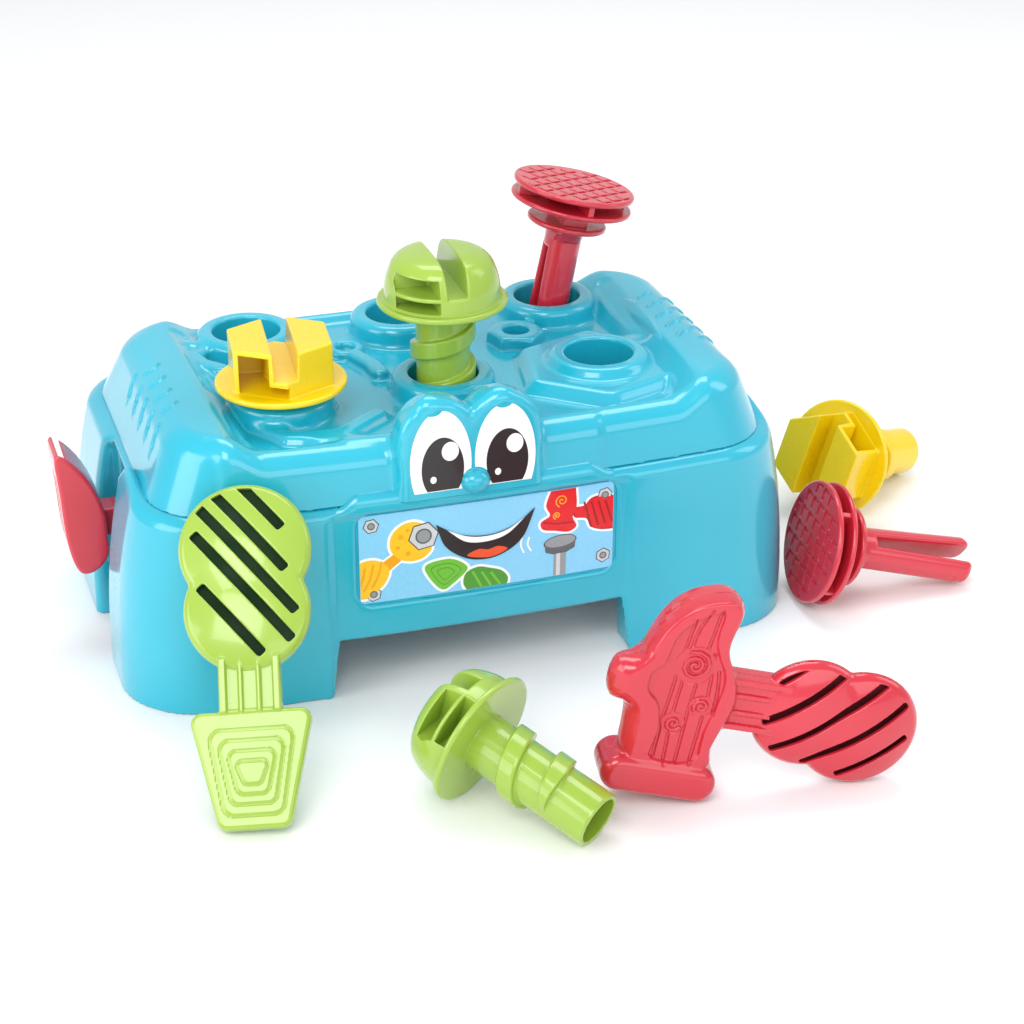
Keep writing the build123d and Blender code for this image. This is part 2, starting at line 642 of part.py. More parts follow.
for name, piece in pieces.items():
    piece.part.label = name
    export_step(piece.part, f"parts/{name}.step")
    bb = piece.part.bounding_box()
    lo = [min(a, b) for a, b in zip(lo, (bb.min.X, bb.min.Y, bb.min.Z))]
    hi = [max(a, b) for a, b in zip(hi, (bb.max.X, bb.max.Y, bb.max.Z))]
    print(f"{name:26s} solids {len(piece.part.solids())} vol {piece.part.volume:10.0f}  "
          f"x {bb.min.X:7.1f} {bb.max.X:7.1f}  y {bb.min.Y:7.1f} {bb.max.Y:7.1f}  z {bb.min.Z:7.2f} {bb.max.Z:7.2f}")
print("set box", [round(v, 3) for v in lo], [round(v, 3) for v in hi], "centre", round((lo[0] + hi[0]) / 2, 3), round((lo[1] + hi[1]) / 2, 3))
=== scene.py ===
import math
import bpy
import numpy as np
from mathutils import Matrix, Vector


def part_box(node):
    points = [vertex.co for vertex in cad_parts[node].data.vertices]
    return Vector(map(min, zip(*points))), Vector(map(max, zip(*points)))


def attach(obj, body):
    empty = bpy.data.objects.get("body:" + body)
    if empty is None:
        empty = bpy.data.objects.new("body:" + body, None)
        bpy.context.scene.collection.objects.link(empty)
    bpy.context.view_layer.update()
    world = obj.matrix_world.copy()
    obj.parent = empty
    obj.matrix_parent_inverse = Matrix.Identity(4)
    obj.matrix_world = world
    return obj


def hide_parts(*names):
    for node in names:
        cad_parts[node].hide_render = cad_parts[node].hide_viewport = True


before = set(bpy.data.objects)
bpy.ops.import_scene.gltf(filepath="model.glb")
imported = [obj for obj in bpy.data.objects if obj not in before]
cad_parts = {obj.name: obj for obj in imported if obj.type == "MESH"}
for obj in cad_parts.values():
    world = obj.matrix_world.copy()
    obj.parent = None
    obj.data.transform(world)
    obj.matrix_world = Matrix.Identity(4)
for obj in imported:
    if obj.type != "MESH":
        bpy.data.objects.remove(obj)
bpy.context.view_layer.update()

lo_leg, hi_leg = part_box("leg_frame")
BX = (lo_leg.x + hi_leg.x) / 2 * 1000          # bench centre in the row frame, mm
BY = hi_leg.y * 1000 - 98.0
BENCH = (BX, BY, 0.0)

# ------------------------------------------------------------------ distance fields
F = np.float32


def mx(*a):
    r = a[0]
    for b in a[1:]:
        r = np.maximum(r, b)
    return r


def mn(*a):
    r = a[0]
    for b in a[1:]:
        r = np.minimum(r, b)
    return r


def smin(a, b, k):
    h = np.maximum(k - np.abs(a - b), 0) / k
    return np.minimum(a, b) - h * h * k * F(0.25)


def smax(a, b, k):
    return -smin(-a, -b, k)


def rmax(a, b, r):
    """Intersection with a true fillet of radius r."""
    u, v = np.maximum(a + r, 0), np.maximum(b + r, 0)
    return np.minimum(F(-r), np.maximum(a, b)) + np.sqrt(u * u + v * v)


def rmin(a, b, r):
    """Union with a true fillet of radius r."""
    u, v = np.maximum(r - a, 0), np.maximum(r - b, 0)
    return np.maximum(F(r), np.minimum(a, b)) - np.sqrt(u * u + v * v)


def rrect(x, y, hx, hy, r):
    qx, qy = np.abs(x) - hx + r, np.abs(y) - hy + r
    return np.sqrt(np.maximum(qx, 0) ** 2 + np.maximum(qy, 0) ** 2) + np.minimum(np.maximum(qx, qy), 0) - r


def circ(x, y, r):
    return np.sqrt(x * x + y * y) - r


def ramp(t, a, b):
    """0 below a, 1 above b, smooth between."""
    s = np.clip((t - a) / (b - a), 0, 1)
    return s * s * (3 - 2 * s)


def seg2(x, y, ax, ay, bx, by):
    dx, dy = bx - ax, by - ay
    t = np.clip(((x - ax) * dx + (y - ay) * dy) / (dx * dx + dy * dy), 0, 1)
    return np.sqrt((x - ax - t * dx) ** 2 + (y - ay - t * dy) ** 2)


def path2(x, y, pts, r=0.0):
    d = None
    for (ax, ay), (bx, by) in zip(pts[:-1], pts[1:]):
        e = seg2(x, y, ax, ay, bx, by)
        d = e if d is None else np.minimum(d, e)
    return d - r


def poly2(x, y, pts):
    """Signed distance to a closed polygon."""
    n = len(pts)
    d = None
    inside = None
    for i in range(n):
        ax, ay = pts[i]
        bx, by = pts[(i + 1) % n]
        dx, dy = bx - ax, by - ay
        t = np.clip(((x - ax) * dx + (y - ay) * dy) / (dx * dx + dy * dy), 0, 1)
        e = (x - ax - t * dx) ** 2 + (y - ay - t * dy) ** 2
        d = e if d is None else np.minimum(d, e)
        c = ((ay > y) != (by > y)) & (x < (bx - ax) * (y - ay) / (by - ay if by != ay else 1e-9) + ax)
        inside = c if inside is None else inside ^ c
    return np.where(inside, -1, 1).astype(F) * np.sqrt(d)


def ngon(x, y, n, apothem, rot, r=0.0):
    """Regular polygon with a flat's normal at rot degrees, corners rounded by r."""
    a = np.arctan2(y, x) - math.radians(rot)
    step = 2 * math.pi / n
    a = (a + step / 2) % step - step / 2
    q = np.sqrt(x * x + y * y)
    u, v = q * np.cos(a), np.abs(q * np.sin(a))
    u, half = u - (apothem - r), (apothem - r) * math.tan(step / 2)
    vv = np.maximum(v - half, 0)
    return np.where(v > half, np.sqrt(np.maximum(u, 0) ** 2 + vv ** 2), u) - r


def slab(z, z0, z1):
    return np.maximum(z0 - z, z - z1)


def sampled(curve, n):
    """Catmull-Rom points through a list of 2D points."""
    p = [np.array(q, float) for q in curve]
    p = [2 * p[0] - p[1]] + p + [2 * p[-1] - p[-2]]
    out = []
    for i in range(1, len(p) - 2):
        for t in np.linspace(0, 1, n, endpoint=False):
            a, b, c, d = p[i - 1], p[i], p[i + 1], p[i + 2]
            out.append(tuple(0.5 * ((2 * b) + (c - a) * t + (2 * a - 5 * b + 4 * c - d) * t * t + (3 * b - a - 3 * c + d) * t ** 3)))
    out.append(tuple(p[-2]))
    return out


def closed(curve, n):
    p = [np.array(q, float) for q in curve]
    m = len(p)
    out = []
    for i in range(m):
        for t in np.linspace(0, 1, n, endpoint=False):
            a, b, c, d = p[i - 1], p[i], p[(i + 1) % m], p[(i + 2) % m]
            out.append(tuple(0.5 * ((2 * b) + (c - a) * t + (2 * a - 5 * b + 4 * c - d) * t * t + (3 * b - a - 3 * c + d) * t ** 3)))
    return out


def field(f, lo, hi, h):
    """The distance field on a grid, worked out only in blocks near the surface."""
    lo, hi = np.array(lo, float), np.array(hi, float)
    B = 10
    nb = (np.ceil((hi - lo) / h).astype(int) + 1 + B - 1) // B
    c = [lo[i] + (np.arange(nb[i]) * B + (B - 1) / 2) * h for i in range(3)]
    X, Y, Z = np.meshgrid(*c, indexing="ij")
    mid = f(X.astype(F), Y.astype(F), Z.astype(F)).astype(F)
    reach = 0.5 * math.sqrt(3) * B * h * 1.45 + 1.5
    D = np.empty((nb[0], B, nb[1], B, nb[2], B), F)
    D[:] = (np.sign(mid) * reach)[:, None, :, None, :, None]
    act = np.argwhere(np.abs(mid) < reach)
    o = np.arange(B)
    for k in range(0, len(act), 220):
        b = act[k:k + 220]
        g = [(lo[i] + (b[:, i, None] * B + o) * h).astype(F) for i in range(3)]
        v = f(g[0][:, :, None, None], g[1][:, None, :, None], g[2][:, None, None, :])
        D[b[:, 0], :, b[:, 1], :, b[:, 2], :] = np.broadcast_to(v, (len(b), B, B, B))
    return D.reshape(nb * B)


def nets(D):
    """Surface nets: vertices in grid units, quads facing outwards."""
    s = D < 0
    cnt = np.zeros(tuple(n - 1 for n in D.shape), np.int8)
    for i in (0, 1):
        for j in (0, 1):
            for k in (0, 1):
                cnt += s[i:s.shape[0] - 1 + i, j:s.shape[1] - 1 + j, k:s.shape[2] - 1 + k]
    idx = np.argwhere((cnt > 0) & (cnt < 8))
    ids = np.full(cnt.shape, -1, np.int32)
    ids[idx[:, 0], idx[:, 1], idx[:, 2]] = np.arange(len(idx))
    corner = {}
    for i in (0, 1):
        for j in (0, 1):
            for k in (0, 1):
                corner[i, j, k] = D[idx[:, 0] + i, idx[:, 1] + j, idx[:, 2] + k]
    P = np.zeros((len(idx), 3))
    N = np.zeros(len(idx))
    for a in corner:
        for ax in range(3):
            if a[ax] == 0:
                b = list(a)
                b[ax] = 1
                va, vb = corner[a], corner[tuple(b)]
                m = (va < 0) != (vb < 0)
                t = np.where(m, va / np.where(m, va - vb, 1), 0)
                q = np.array(a, float)[None, :] * np.ones((len(idx), 1))
                q[:, ax] += t
                P += q * m[:, None]
                N += m
    P = P / N[:, None] + idx
    quads = []
    for ax in range(3):
        u, v = (ax + 1) % 3, (ax + 2) % 3
        sl0 = [slice(1, n - 1) for n in D.shape]
        sl1 = list(sl0)
        sl0[ax], sl1[ax] = slice(0, D.shape[ax] - 1), slice(1, D.shape[ax])
        a, b = s[tuple(sl0)], s[tuple(sl1)]
        e = np.argwhere(a != b)
        off = np.array([1, 1, 1])
        off[ax] = 0
        e = e + off
        inside_first = s[e[:, 0], e[:, 1], e[:, 2]]
        c = []
        for du, dv in ((1, 1), (0, 1), (0, 0), (1, 0)):
            q = e.copy()
            q[:, u] -= du
            q[:, v] -= dv
            c.append(ids[q[:, 0], q[:, 1], q[:, 2]])
        c = np.stack(c, 1)
        c = np.where(inside_first[:, None], c, c[:, ::-1])
        quads.append(c)
    return P, np.concatenate(quads)


def solve(f, lo, hi, h):
    """A mesh of the field's zero surface: points, quads and exact normals, in the field's own mm."""
    D = field(f, lo, hi, h)
    P, Q = nets(D)
    P = (P * h + np.array(lo)).astype(F)
    e = F(0.12)

    def grad(p, v=None):
        x, y, z = p[:, 0], p[:, 1], p[:, 2]
        return np.stack([f(x + e, y, z) - f(x - e, y, z), f(x, y + e, z) - f(x, y - e, z), f(x, y, z + e) - f(x, y, z - e)], 1) / (2 * e)
    for step in range(2):
        v = f(P[:, 0], P[:, 1], P[:, 2])
        g = grad(P)
        g2 = np.maximum((g * g).sum(1), 0.25)
        P = P - np.clip(v / g2, -h, h)[:, None] * g
    g = grad(P)
    n = g / np.maximum(np.sqrt((g * g).sum(1)), 1e-6)[:, None]
    return P.astype(float), Q, n.astype(float)


def drop_bits(P, Q, n, least=60):
    """Leaves out stray specks: connected bits with few vertices."""
    label = np.arange(len(P))
    e = np.concatenate([Q[:, [0, 1]], Q[:, [1, 2]], Q[:, [2, 3]], Q[:, [3, 0]]])
    while True:
        m = np.minimum(label[e[:, 0]], label[e[:, 1]])
        new = label.copy()
        np.minimum.at(new, e[:, 0], m)
        np.minimum.at(new, e[:, 1], m)
        new = new[new]
        new = new[new]
        if (new == label).all():
            break
        label = new
    big = np.bincount(label, minlength=len(P))[label] >= least
    if big.all():
        return P, Q, n
    re = np.cumsum(big) - 1
    Q = re[Q[big[Q[:, 0]]]]
    return P[big], Q, n[big]


def mesh_of(name, P, Q, n=None, mat=None, place=None, sharp=True):
    """A Blender object from mm points; place is (origin mm, x axis, y axis, z axis) in the row frame."""
    P = np.asarray(P, float)
    if place is None:
        place = (BENCH, (1, 0, 0), (0, 1, 0), (0, 0, 1))
    o, ax, ay, az = (np.array(v, float) for v in place)
    R = np.stack([ax / np.linalg.norm(ax), ay / np.linalg.norm(ay), az / np.linalg.norm(az)])
    W = (P @ R + o) / 1000
    me = bpy.data.meshes.new(name)
    me.vertices.add(len(W))
    me.vertices.foreach_set("co", W.astype(F).ravel())
    k = Q.shape[1]
    me.loops.add(Q.size)
    me.loops.foreach_set("vertex_index", Q.astype(np.int32).ravel())
    me.polygons.add(len(Q))
    me.polygons.foreach_set("loop_start", np.arange(0, Q.size, k, dtype=np.int32))
    me.polygons.foreach_set("use_smooth", np.ones(len(Q), bool))
    me.update(calc_edges=True)
    me.validate()
    if n is not None and len(me.vertices) == len(n):
        me.normals_split_custom_set_from_vertices((np.asarray(n) @ R).astype(F))
    ob = bpy.data.objects.new(name, me)
    bpy.context.scene.collection.objects.link(ob)
    if mat is not None:
        me.materials.append(mat)
    return ob


def build(name, f, lo, hi, h, mat, body, nodes=(), place=None, least=60):
    P, Q, n = drop_bits(*solve(f, lo, hi, h * (1.0)), least=least)
    ob = mesh_of(name, P, Q, n, mat, place)
    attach(ob, body)
    if nodes:
        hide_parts(*nodes)
    print("built", name, len(P), "points")
    return ob, (P, Q, n)


def again(name, data, mat, body, nodes, place):
    """The same mesh a second time, in another place."""
    ob = mesh_of(name, data[0], data[1], data[2], mat, place)
    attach(ob, body)
    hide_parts(*nodes)
    return ob


# ------------------------------------------------------------------ materials
def plastic(name, deep, lit, rough=0.2, grain=0.02, scale=1.0, coat=0.35, sub=0.0):
    """Moulded glossy plastic: slow colour drift, slight wear in the gloss, fine orange peel."""
    m = bpy.data.materials.new(name)
    m.use_nodes = True
    nt = m.node_tree
    nd, lk = nt.nodes, nt.links
    b = nd["Principled BSDF"]
    tc = nd.new("ShaderNodeTexCoord")
    big = nd.new("ShaderNodeTexNoise")
    big.inputs["Scale"].default_value = 9.0 * scale
    big.inputs["Detail"].default_value = 2.0
    lk.new(tc.outputs["Object"], big.inputs["Vector"])
    ramp_ = nd.new("ShaderNodeValToRGB")
    ramp_.color_ramp.elements[0].position = 0.3
    ramp_.color_ramp.elements[0].color = (*deep, 1)
    ramp_.color_ramp.elements[1].position = 0.7
    ramp_.color_ramp.elements[1].color = (*lit, 1)
    lk.new(big.outputs["Fac"], ramp_.inputs["Fac"])
    lk.new(ramp_.outputs["Color"], b.inputs["Base Color"])
    wear = nd.new("ShaderNodeTexNoise")
    wear.inputs["Scale"].default_value = 60.0
    wear.inputs["Detail"].default_value = 4.0
    lk.new(tc.outputs["Object"], wear.inputs["Vector"])
    mr = nd.new("ShaderNodeMapRange")
    mr.inputs["From Min"].default_value = 0.3
    mr.inputs["From Max"].default_value = 0.7
    mr.inputs["To Min"].default_value = rough * 0.85
    mr.inputs["To Max"].default_value = rough * 1.25
    lk.new(wear.outputs["Fac"], mr.inputs["Value"])
    lk.new(mr.outputs["Result"], b.inputs["Roughness"])
    peel = nd.new("ShaderNodeTexNoise")
    peel.inputs["Scale"].default_value = 420.0
    peel.inputs["Detail"].default_value = 1.0
    lk.new(tc.outputs["Object"], peel.inputs["Vector"])
    bump = nd.new("ShaderNodeBump")
    bump.inputs["Strength"].default_value = grain
    bump.inputs["Distance"].default_value = 0.0006
    lk.new(peel.outputs["Fac"], bump.inputs["Height"])
    lk.new(bump.outputs["Normal"], b.inputs["Normal"])
    b.inputs["Coat Weight"].default_value = coat
    b.inputs["Coat Roughness"].default_value = 0.06
    b.inputs["IOR"].default_value = 1.5
    if sub:
        b.inputs["Subsurface Weight"].default_value = sub
        b.inputs["Subsurface Radius"].default_value = (0.4, 0.5, 0.6)
        b.inputs["Subsurface Scale"].default_value = 0.004
    return m


def srgb(*c):
    return tuple((v / 255 / 12.92) if v / 255 <= 0.04045 else ((v / 255 + 0.055) / 1.055) ** 2.4 for v in c)


BLUE = plastic("blue_plastic", srgb(22, 168, 194), srgb(42, 180, 204), rough=0.2, coat=0.6)
YELLOW = plastic("yellow_plastic", srgb(236, 200, 4), srgb(242, 210, 10), rough=0.24, coat=0.4)
GREEN = plastic("green_plastic", srgb(144, 176, 54), srgb(158, 188, 70), rough=0.22, coat=0.5)
# near-black green and red: painted shade for the dark sheets inside the hollow grips, not a plastic colour of the toy
SHADE_GREEN = plastic("painted_shade_green_plastic", srgb(14, 46, 16), srgb(20, 58, 20), rough=0.78, coat=0.0)
SHADE_RED = plastic("painted_shade_red_plastic", srgb(88, 10, 18), srgb(104, 14, 24), rough=0.78, coat=0.0)
RED = plastic("red_plastic", srgb(196, 32, 50), srgb(206, 44, 62), rough=0.2, coat=0.6)


# ------------------------------------------------------------------ bench, in bench millimetres
COLS, ROWS = (-80.0, 0.0, 80.0), (-40.2, 40.2)


def casing_outline(x, y, z, grow=0.0, relief=1.0):
    t = (z - 100) / 34
    w = ramp(-y, -10, 60)
    bow = 8 * (1 - (x / 150) ** 2)
    panel = 1.3 * relief * (ramp(x, -125, -119) - ramp(x, 57, 63))
    ye = y + (bow + panel) * w
    yf, yb = -97 + 6 * t, 84 - 16 * t
    return (rrect(x, ye - (yf + yb) / 2, 153 - 13 * t, (yb - yf) / 2, 31 - 2 * t) - grow) * F(0.94)


def arc_points(a, b, bulge):
    ax, ay = a
    bx, by = b
    m = ((ax + bx) / 2 + bulge[0], (ay + by) / 2 + bulge[1])
    return sampled([a, m, b], 4)


LEFT_ARCS = [arc_points((-153.5, -8 - 15.5 * k), (-141.8, 10 - 15.5 * k), (-3.0, 3.5)) for k in range(5)]
LEFT_DASHES = [arc_points((-138.5, 2 - 15.5 * k), (-130.8, 5.5 - 15.5 * k), (0.6, -1.6)) for k in range(4)]
RIGHT_ARCS = [arc_points((122.5, 16 - 13.5 * k), (130.0, 20 - 13.5 * k), (0.8, 3.0)) for k in range(5)]
RIGHT_ARCS2 = [arc_points((133.5, 12 - 13.5 * k), (141.0, 15 - 13.5 * k), (0.8, 3.0)) for k in range(5)]
LEAF = closed([(114.5, 20), (118.0, 14), (119.0, 0), (118.0, -18), (114.5, -36), (113.0, -18), (112.5, 2)], 4)


def deck_height(x, y):
    ax = np.abs(x)
    H = 126 + 8.3 * ramp(ax, 100, 119)
    tray = rrect(x, y + 13, 105, 74, 16)
    H = H - 4.2 * (1 - ramp(tray, -4.5, 3.5))
    # a long soft hollow on the inner slope of each hump
    H = H - 1.3 * (1 - ramp(seg2(ax, y, 113.5, 46, 110.0, -24), 1.5, 6.0))
    return H


def emboss(d, inner, outer):
    return 1 - ramp(d, inner, outer)


SPANNER = [(-106, 3), (-101, -28), (-95, -56), (-84, -74), (-70, -79)]
JAW_A = [(-70, -79), (-57, -76), (-47, -68), (-39, -62)]
JAW_B = [(-68, -80), (-58, -87), (-46, -89)]


def casing(x, y, z):
    g = casing_outline(x, y, z)
    H = deck_height(x, y)
    top = (z - H) * F(0.93)
    f = rmax(g, top, 9.0)
    # raised shapes on the deck: a spanner, a ring with a bar, a small hinge eye
    k = smin(path2(x, y, SPANNER, 5.0), smin(path2(x, y, JAW_A, 5.2), path2(x, y, JAW_B, 5.0), 6), 6)
    f = smin(f, rmax(k, z - 126.0, 3.2), 3.5)
    ring = np.abs(circ(x + 34, y - 19, 7.2)) - 2.6
    bar = path2(x, y, [(-31, 10), (-26, -4), (-25, -14)], 4.6)
    f = smin(f, rmax(mn(ring, bar), z - 126.5, 2.4), 2.5)
    eye_ = np.abs(circ(x + 111, y - 30, 6.8)) - 2.8
    arm = path2(x, y, [(-111, 22), (-108, 12), (-101, 4)], 4.6)
    f = smin(f, rmax(mn(eye_, arm), z - 130.5, 2.6), 3.0)
    # nut round the front right socket, with a sloped edge
    u, v = x - 80, y + 40.2
    nut = ngon(u, v, 6, 39.5, -10.6, 4.0)
    nut = rmax(nut, z - 128.0, 2.0)
    nut = smax(nut, (ngon(u, v, 6, 41.0, -10.6, 4.0) + (z - 122.0) * 1.1) * F(0.67), 1.6)
    nut = smax(nut, (circ(u, v, 44.0) + (z - 124.0)) * F(0.7), 1.5)
    f = smin(f, nut, 2.5)
    # small nut with a round hole
    u2, v2 = x - 53, y - 9
    small = rmax(ngon(u2, v2, 6, 13.2, 14, 1.8), z - 128.5, 1.5)
    small = smax(small, (circ(u2, v2, 14.2) + (z - 127.2)) * F(0.7), 1.0)
    small = rmax(small, -circ(u2, v2, 6.6), 1.2)
    small = mx(small, 118.5 - z)
    f = mx(f, -mx(circ(u2, v2, 6.6), 123.0 - z))
    f = smin(f, small, 1.6)
    # patterns pressed into the humps
    e = emboss(mn(*[path2(x, y, a) for a in LEFT_ARCS]), 0.5, 1.6)
    e = e + emboss(mn(*[path2(x, y, a) for a in LEFT_DASHES]), 0.4, 1.4)
    e = e + emboss(mn(*[path2(x, y, a) for a in RIGHT_ARCS + RIGHT_ARCS2]), 0.5, 1.5)
    e = e + 0.9 * emboss(poly2(x, y, LEAF), -1.6, 0.4)
    f = f - 1.0 * e * ramp(z, 112, 120)
    # brow plate and its rounded back, eyelid tabs, nose
    b2 = smin(circ(x + 21.8, z - 129.2, 19.6), circ(x - 8.4, z - 129.2, 19.6), 3.0)
    b2 = smin(b2, rrect(x + 6.7, z - 111, 34.6, 16, 5), 5)
    brow = rmax(b2, -(y + 110.3) * F(1.0), 4.2)
    brow = smax(brow, y + 86.0, 16.0)
    f = smin(f, brow, 5.0)
    lid = mn(np.sqrt(((x + 25.5) / 1.2) ** 2 + (y + 104.8) ** 2 + ((z - 145.8) / 0.9) ** 2),
             np.sqrt(((x - 8.4) / 1.2) ** 2 + (y + 104.8) ** 2 + ((z - 145.8) / 0.9) ** 2)) - 5.6
    f = smin(f, lid * F(0.8), 2.2)
    # sockets
    hole = None
    boss = None
    for cx in COLS:
        for cy in ROWS:
            c = circ(x - cx, y - cy, 0.0)
            hole = c if hole is None else mn(hole, c)
    bz = rmax(hole - 25.0 - (133 - z) * 0.05, z - 133.0, 4.0)
    f = rmin(f, bz, 3.2)
    # hollow inside, open at the bottom
    inner = rmax(casing_outline(x, y, z, -3.2, 0.0), z - 118.8, 6.0)
    pocket = rmax(rrect(np.abs(x) - 126, y + 14, 5.5, 55, 5), z - 129.5, 3.0)
    inner = mn(inner, pocket)
    f = mx(f, -inner)
    f = mn(f, mx(hole - 20.0, 105.0 - z, z - 124.0))
    f = rmax(f, -(hole - 17.0), 1.6)
    f = mx(f, 100.0 - z)
    nose = (np.sqrt(((x + 5.2) / 7.0) ** 2 + ((y + 109.5) / 5.8) ** 2 + ((z - 107.0) / 5.6) ** 2) - 1) * 5.6
    return mn(f, nose)


def leg_outline(x, y, z, relief=1.0):
    t = z / 100
    w = ramp(-y, -10, 60)
    bow = 8 * (1 - (x / 158) ** 2)
    mid = ramp(x, -76.5, -71.5) - ramp(x, 70.5, 75.5)
    rec = -2.0 * relief * mid * (1 - ramp(z, 92, 98))
    ye = y + (bow + rec) * w
    yf, yb = -101.0, 98 - 6 * t
    hw = 170.0 - 11.0 * np.maximum(t, 0) ** 2.4
    return (rrect(x, ye - (yf + yb) / 2, hw, (yb - yf) / 2, 36.0)) * F(0.95)


def leg_frame(x, y, z):
    g = leg_outline(x, y, z)
    rise = 6.0 * (ramp(x, -72, -60) - ramp(x, 52, 66)) * ramp(-y, 85, 97)
    rise = rise + 6.5 * ramp(np.abs(x), 150, 157) * ramp(-y, 33, 42) * (1 - ramp(-y, 46, 84))
    top = z - 100.0 - rise
    g = rmax(g, top, 6.5)
    # recess in each side between the legs
    ax = np.abs(x)
    rec = rmax(rmax(np.abs(y + 12.5) - 20.5, 152.0 - ax, 5.0), z - 96.5, 5.0)
    g = rmax(g, -rec, 5.0)
    f = mx(g, -(g + 3.0))
    # opening in the top plate and its casing step
    hole = mx(rrect(x, y + 11, 130, 74, 30), 96.0 - z)
    f = mx(f, -hole)
    cut = mx(casing_outline(x, y, z, -0.9), 100.0 - z)
    f = mx(f, -cut)
    # stiffening ribs beside the arches
    rib = mx(np.abs(ax - 76.5) - 1.5, np.abs(np.abs(y + 5.5) - 91.5) - 10.0, z - 97.0)
    rib = mx(rib, g + 1.0)
    f = mn(f, rib)
    flange = mx(ax - 76, np.abs(y + 102) - 5.0, np.abs(z - 30.2) - 1.5, g + 1.0)
    f = mn(f, flange)
    # window
    win = rrect(x - 2.5, z - 70.5, 63.5, 23.5, 7.0)
    win = mx(win, y + 84.0)
    f = rmax(f, -win, 3.4)
    # arches
    arch = poly2(x, z, [(-75.3, -8), (75.3, -8), (70.5, 28.7), (-70.5, 28.7)])
    arch = mx(rrect_soft(arch, 6.0), y + 60)
    f = rmax(f, -arch, 2.6)
    back = mx(rrect_soft(poly2(x, z, [(-75.3, -8), (75.3, -8), (70.5, 46.0), (-70.5, 46.0)]), 8.0), 60 - y)
    f = rmax(f, -back, 2.2)
    gap = mx(np.abs(y + 12.5) - 20.5, z - 30.0, 142.0 - ax)
    f = rmax(f, -gap, 1.4)
    slot_ = mx(np.abs(y + 10) - 7.5, np.abs(z - 64) - 8.0, np.abs(x + 152) - 9.0)
    f = mx(f, -slot_)
    return mx(f, -z)


def rrect_soft(d, r):
    return d


def shell_pieces():
    build("casing_shell", casing, (-156, -121, 99), (156, 87, 151), 1.15, BLUE, "bench", ("upper_casing",))
    build("leg_shell", leg_frame, (-172, -112, -1.2), (172, 100, 109), 1.25, BLUE, "bench", ("leg_frame",))


# ------------------------------------------------------------------ pegs, each in its own frame: z up its axis, 0 under the flange
def shank_field(x, y, z):
    r = np.sqrt(x * x + y * y)
    core = rmax(r - 13.0, slab(z, -64.0, 1.0), 0.9)
    th = np.arctan2(y, x) / (2 * math.pi)
    P = 22.0
    u = (z + 12.0) / P - th
    whole = np.round(u)
    k = np.abs(u - whole) * P
    # the ridge makes one and a half turns, with tapered ends
    run = th + whole
    fade = ramp(run, -1.55, -1.40) * (1 - ramp(run, 0.12, 0.25))
    ridge = rmax(k - 4.4, r - (12.6 + 3.3 * fade), 1.1) * F(0.85)
    ridge = mx(ridge, slab(z, -44.0, -8.0))
    f = rmin(core, ridge, 0.7)
    return f, r


def bore(f, r, z):
    return rmax(f, -mx(r - 10.8, z + 6.0), 0.5)


def hex_bolt(x, y, z):
    f, r = shank_field(x, y, z)
    flange = rmax(r - 31.5, slab(z, 0.0, 3.0), 1.3)
    head = rmax(ngon(x, y, 6, 23.38, 0, 0.9), z - 24.5, 1.1)
    # slot, a little wider at its mouth
    head = rmax(head, -mx(np.abs(x) - 5.2 - 0.06 * (z - 11), 11.0 - z), 0.8)
    core_ = mn(mx(rrect(x + 14.4, y + 12, 6.6, 20, 1.2), z - 22.0), mx(rrect(x - 14.4, y - 12, 6.6, 20, 1.2), z - 22.0))
    step = mn(mx(rrect(x + 4, y + 16, 5, 16, 0.8), z - 8.2), mx(rrect(x - 4, y - 16, 5, 16, 0.8), z - 8.2))
    head = rmax(head, -mx(mn(core_, step), 3.0 - z), 0.5)
    head = mx(head, 1.5 - z)
    f = mn(rmin(flange, head, 0.9), f)
    return bore(f, r, z)


def dome_bolt(x, y, z):
    f, r = shank_field(x, y, z)
    flange = rmax(r - 31.5, slab(z, 0.0, 3.0), 1.3)
    head = rmax(rmax(r - 28.0 + 0.04 * (z - 3), (r + z - 47.6) * F(0.7071), 8.0), z - 27.0 + r * 0.05, 6.0)
    head = rmax(head, -mx(np.abs(x) - 4.7 - 0.05 * (z - 11), 11.0 - z), 1.0)
    for z0, z1 in ((4.0, 9.5), (11.5, 19.4)):
        a = mx(rrect(x + 16.8, y + 20, 8.6, 15, 1.2), slab(z, z0, z1))
        b = mx(rrect(x - 16.8, y - 20, 8.6, 15, 1.2), slab(z, z0, z1))
        head = rmax(head, -mn(a, b), 0.7)
    head = mx(head, 1.5 - z)
    f = mn(rmin(flange, head, 0.9), f)
    return bore(f, r, z)


def nail_dashes(x, y):
    """Distance to the corner-shaped grooves pressed into the head, in rows."""
    c, q = math.cos(math.radians(-35)), math.sin(math.radians(-35))
    u, v = x * c - y * q, x * q + y * c
    d = None
    for j in range(-3, 4):
        vv = j * 8.6
        half = math.sqrt(27.5 ** 2 - vv * vv)
        for i in range(-4, 5):
            uu = i * 8.2
            if abs(uu) > half:
                continue
            e = mn(seg2(u, v, uu - 2.6, vv + 2.6, uu + 2.4, vv + 2.6), seg2(u, v, uu - 2.6, vv + 2.6, uu - 2.6, vv - 3.0))
            d = e if d is None else mn(d, e)
    return mx(d, np.sqrt(x * x + y * y) - 28.6)


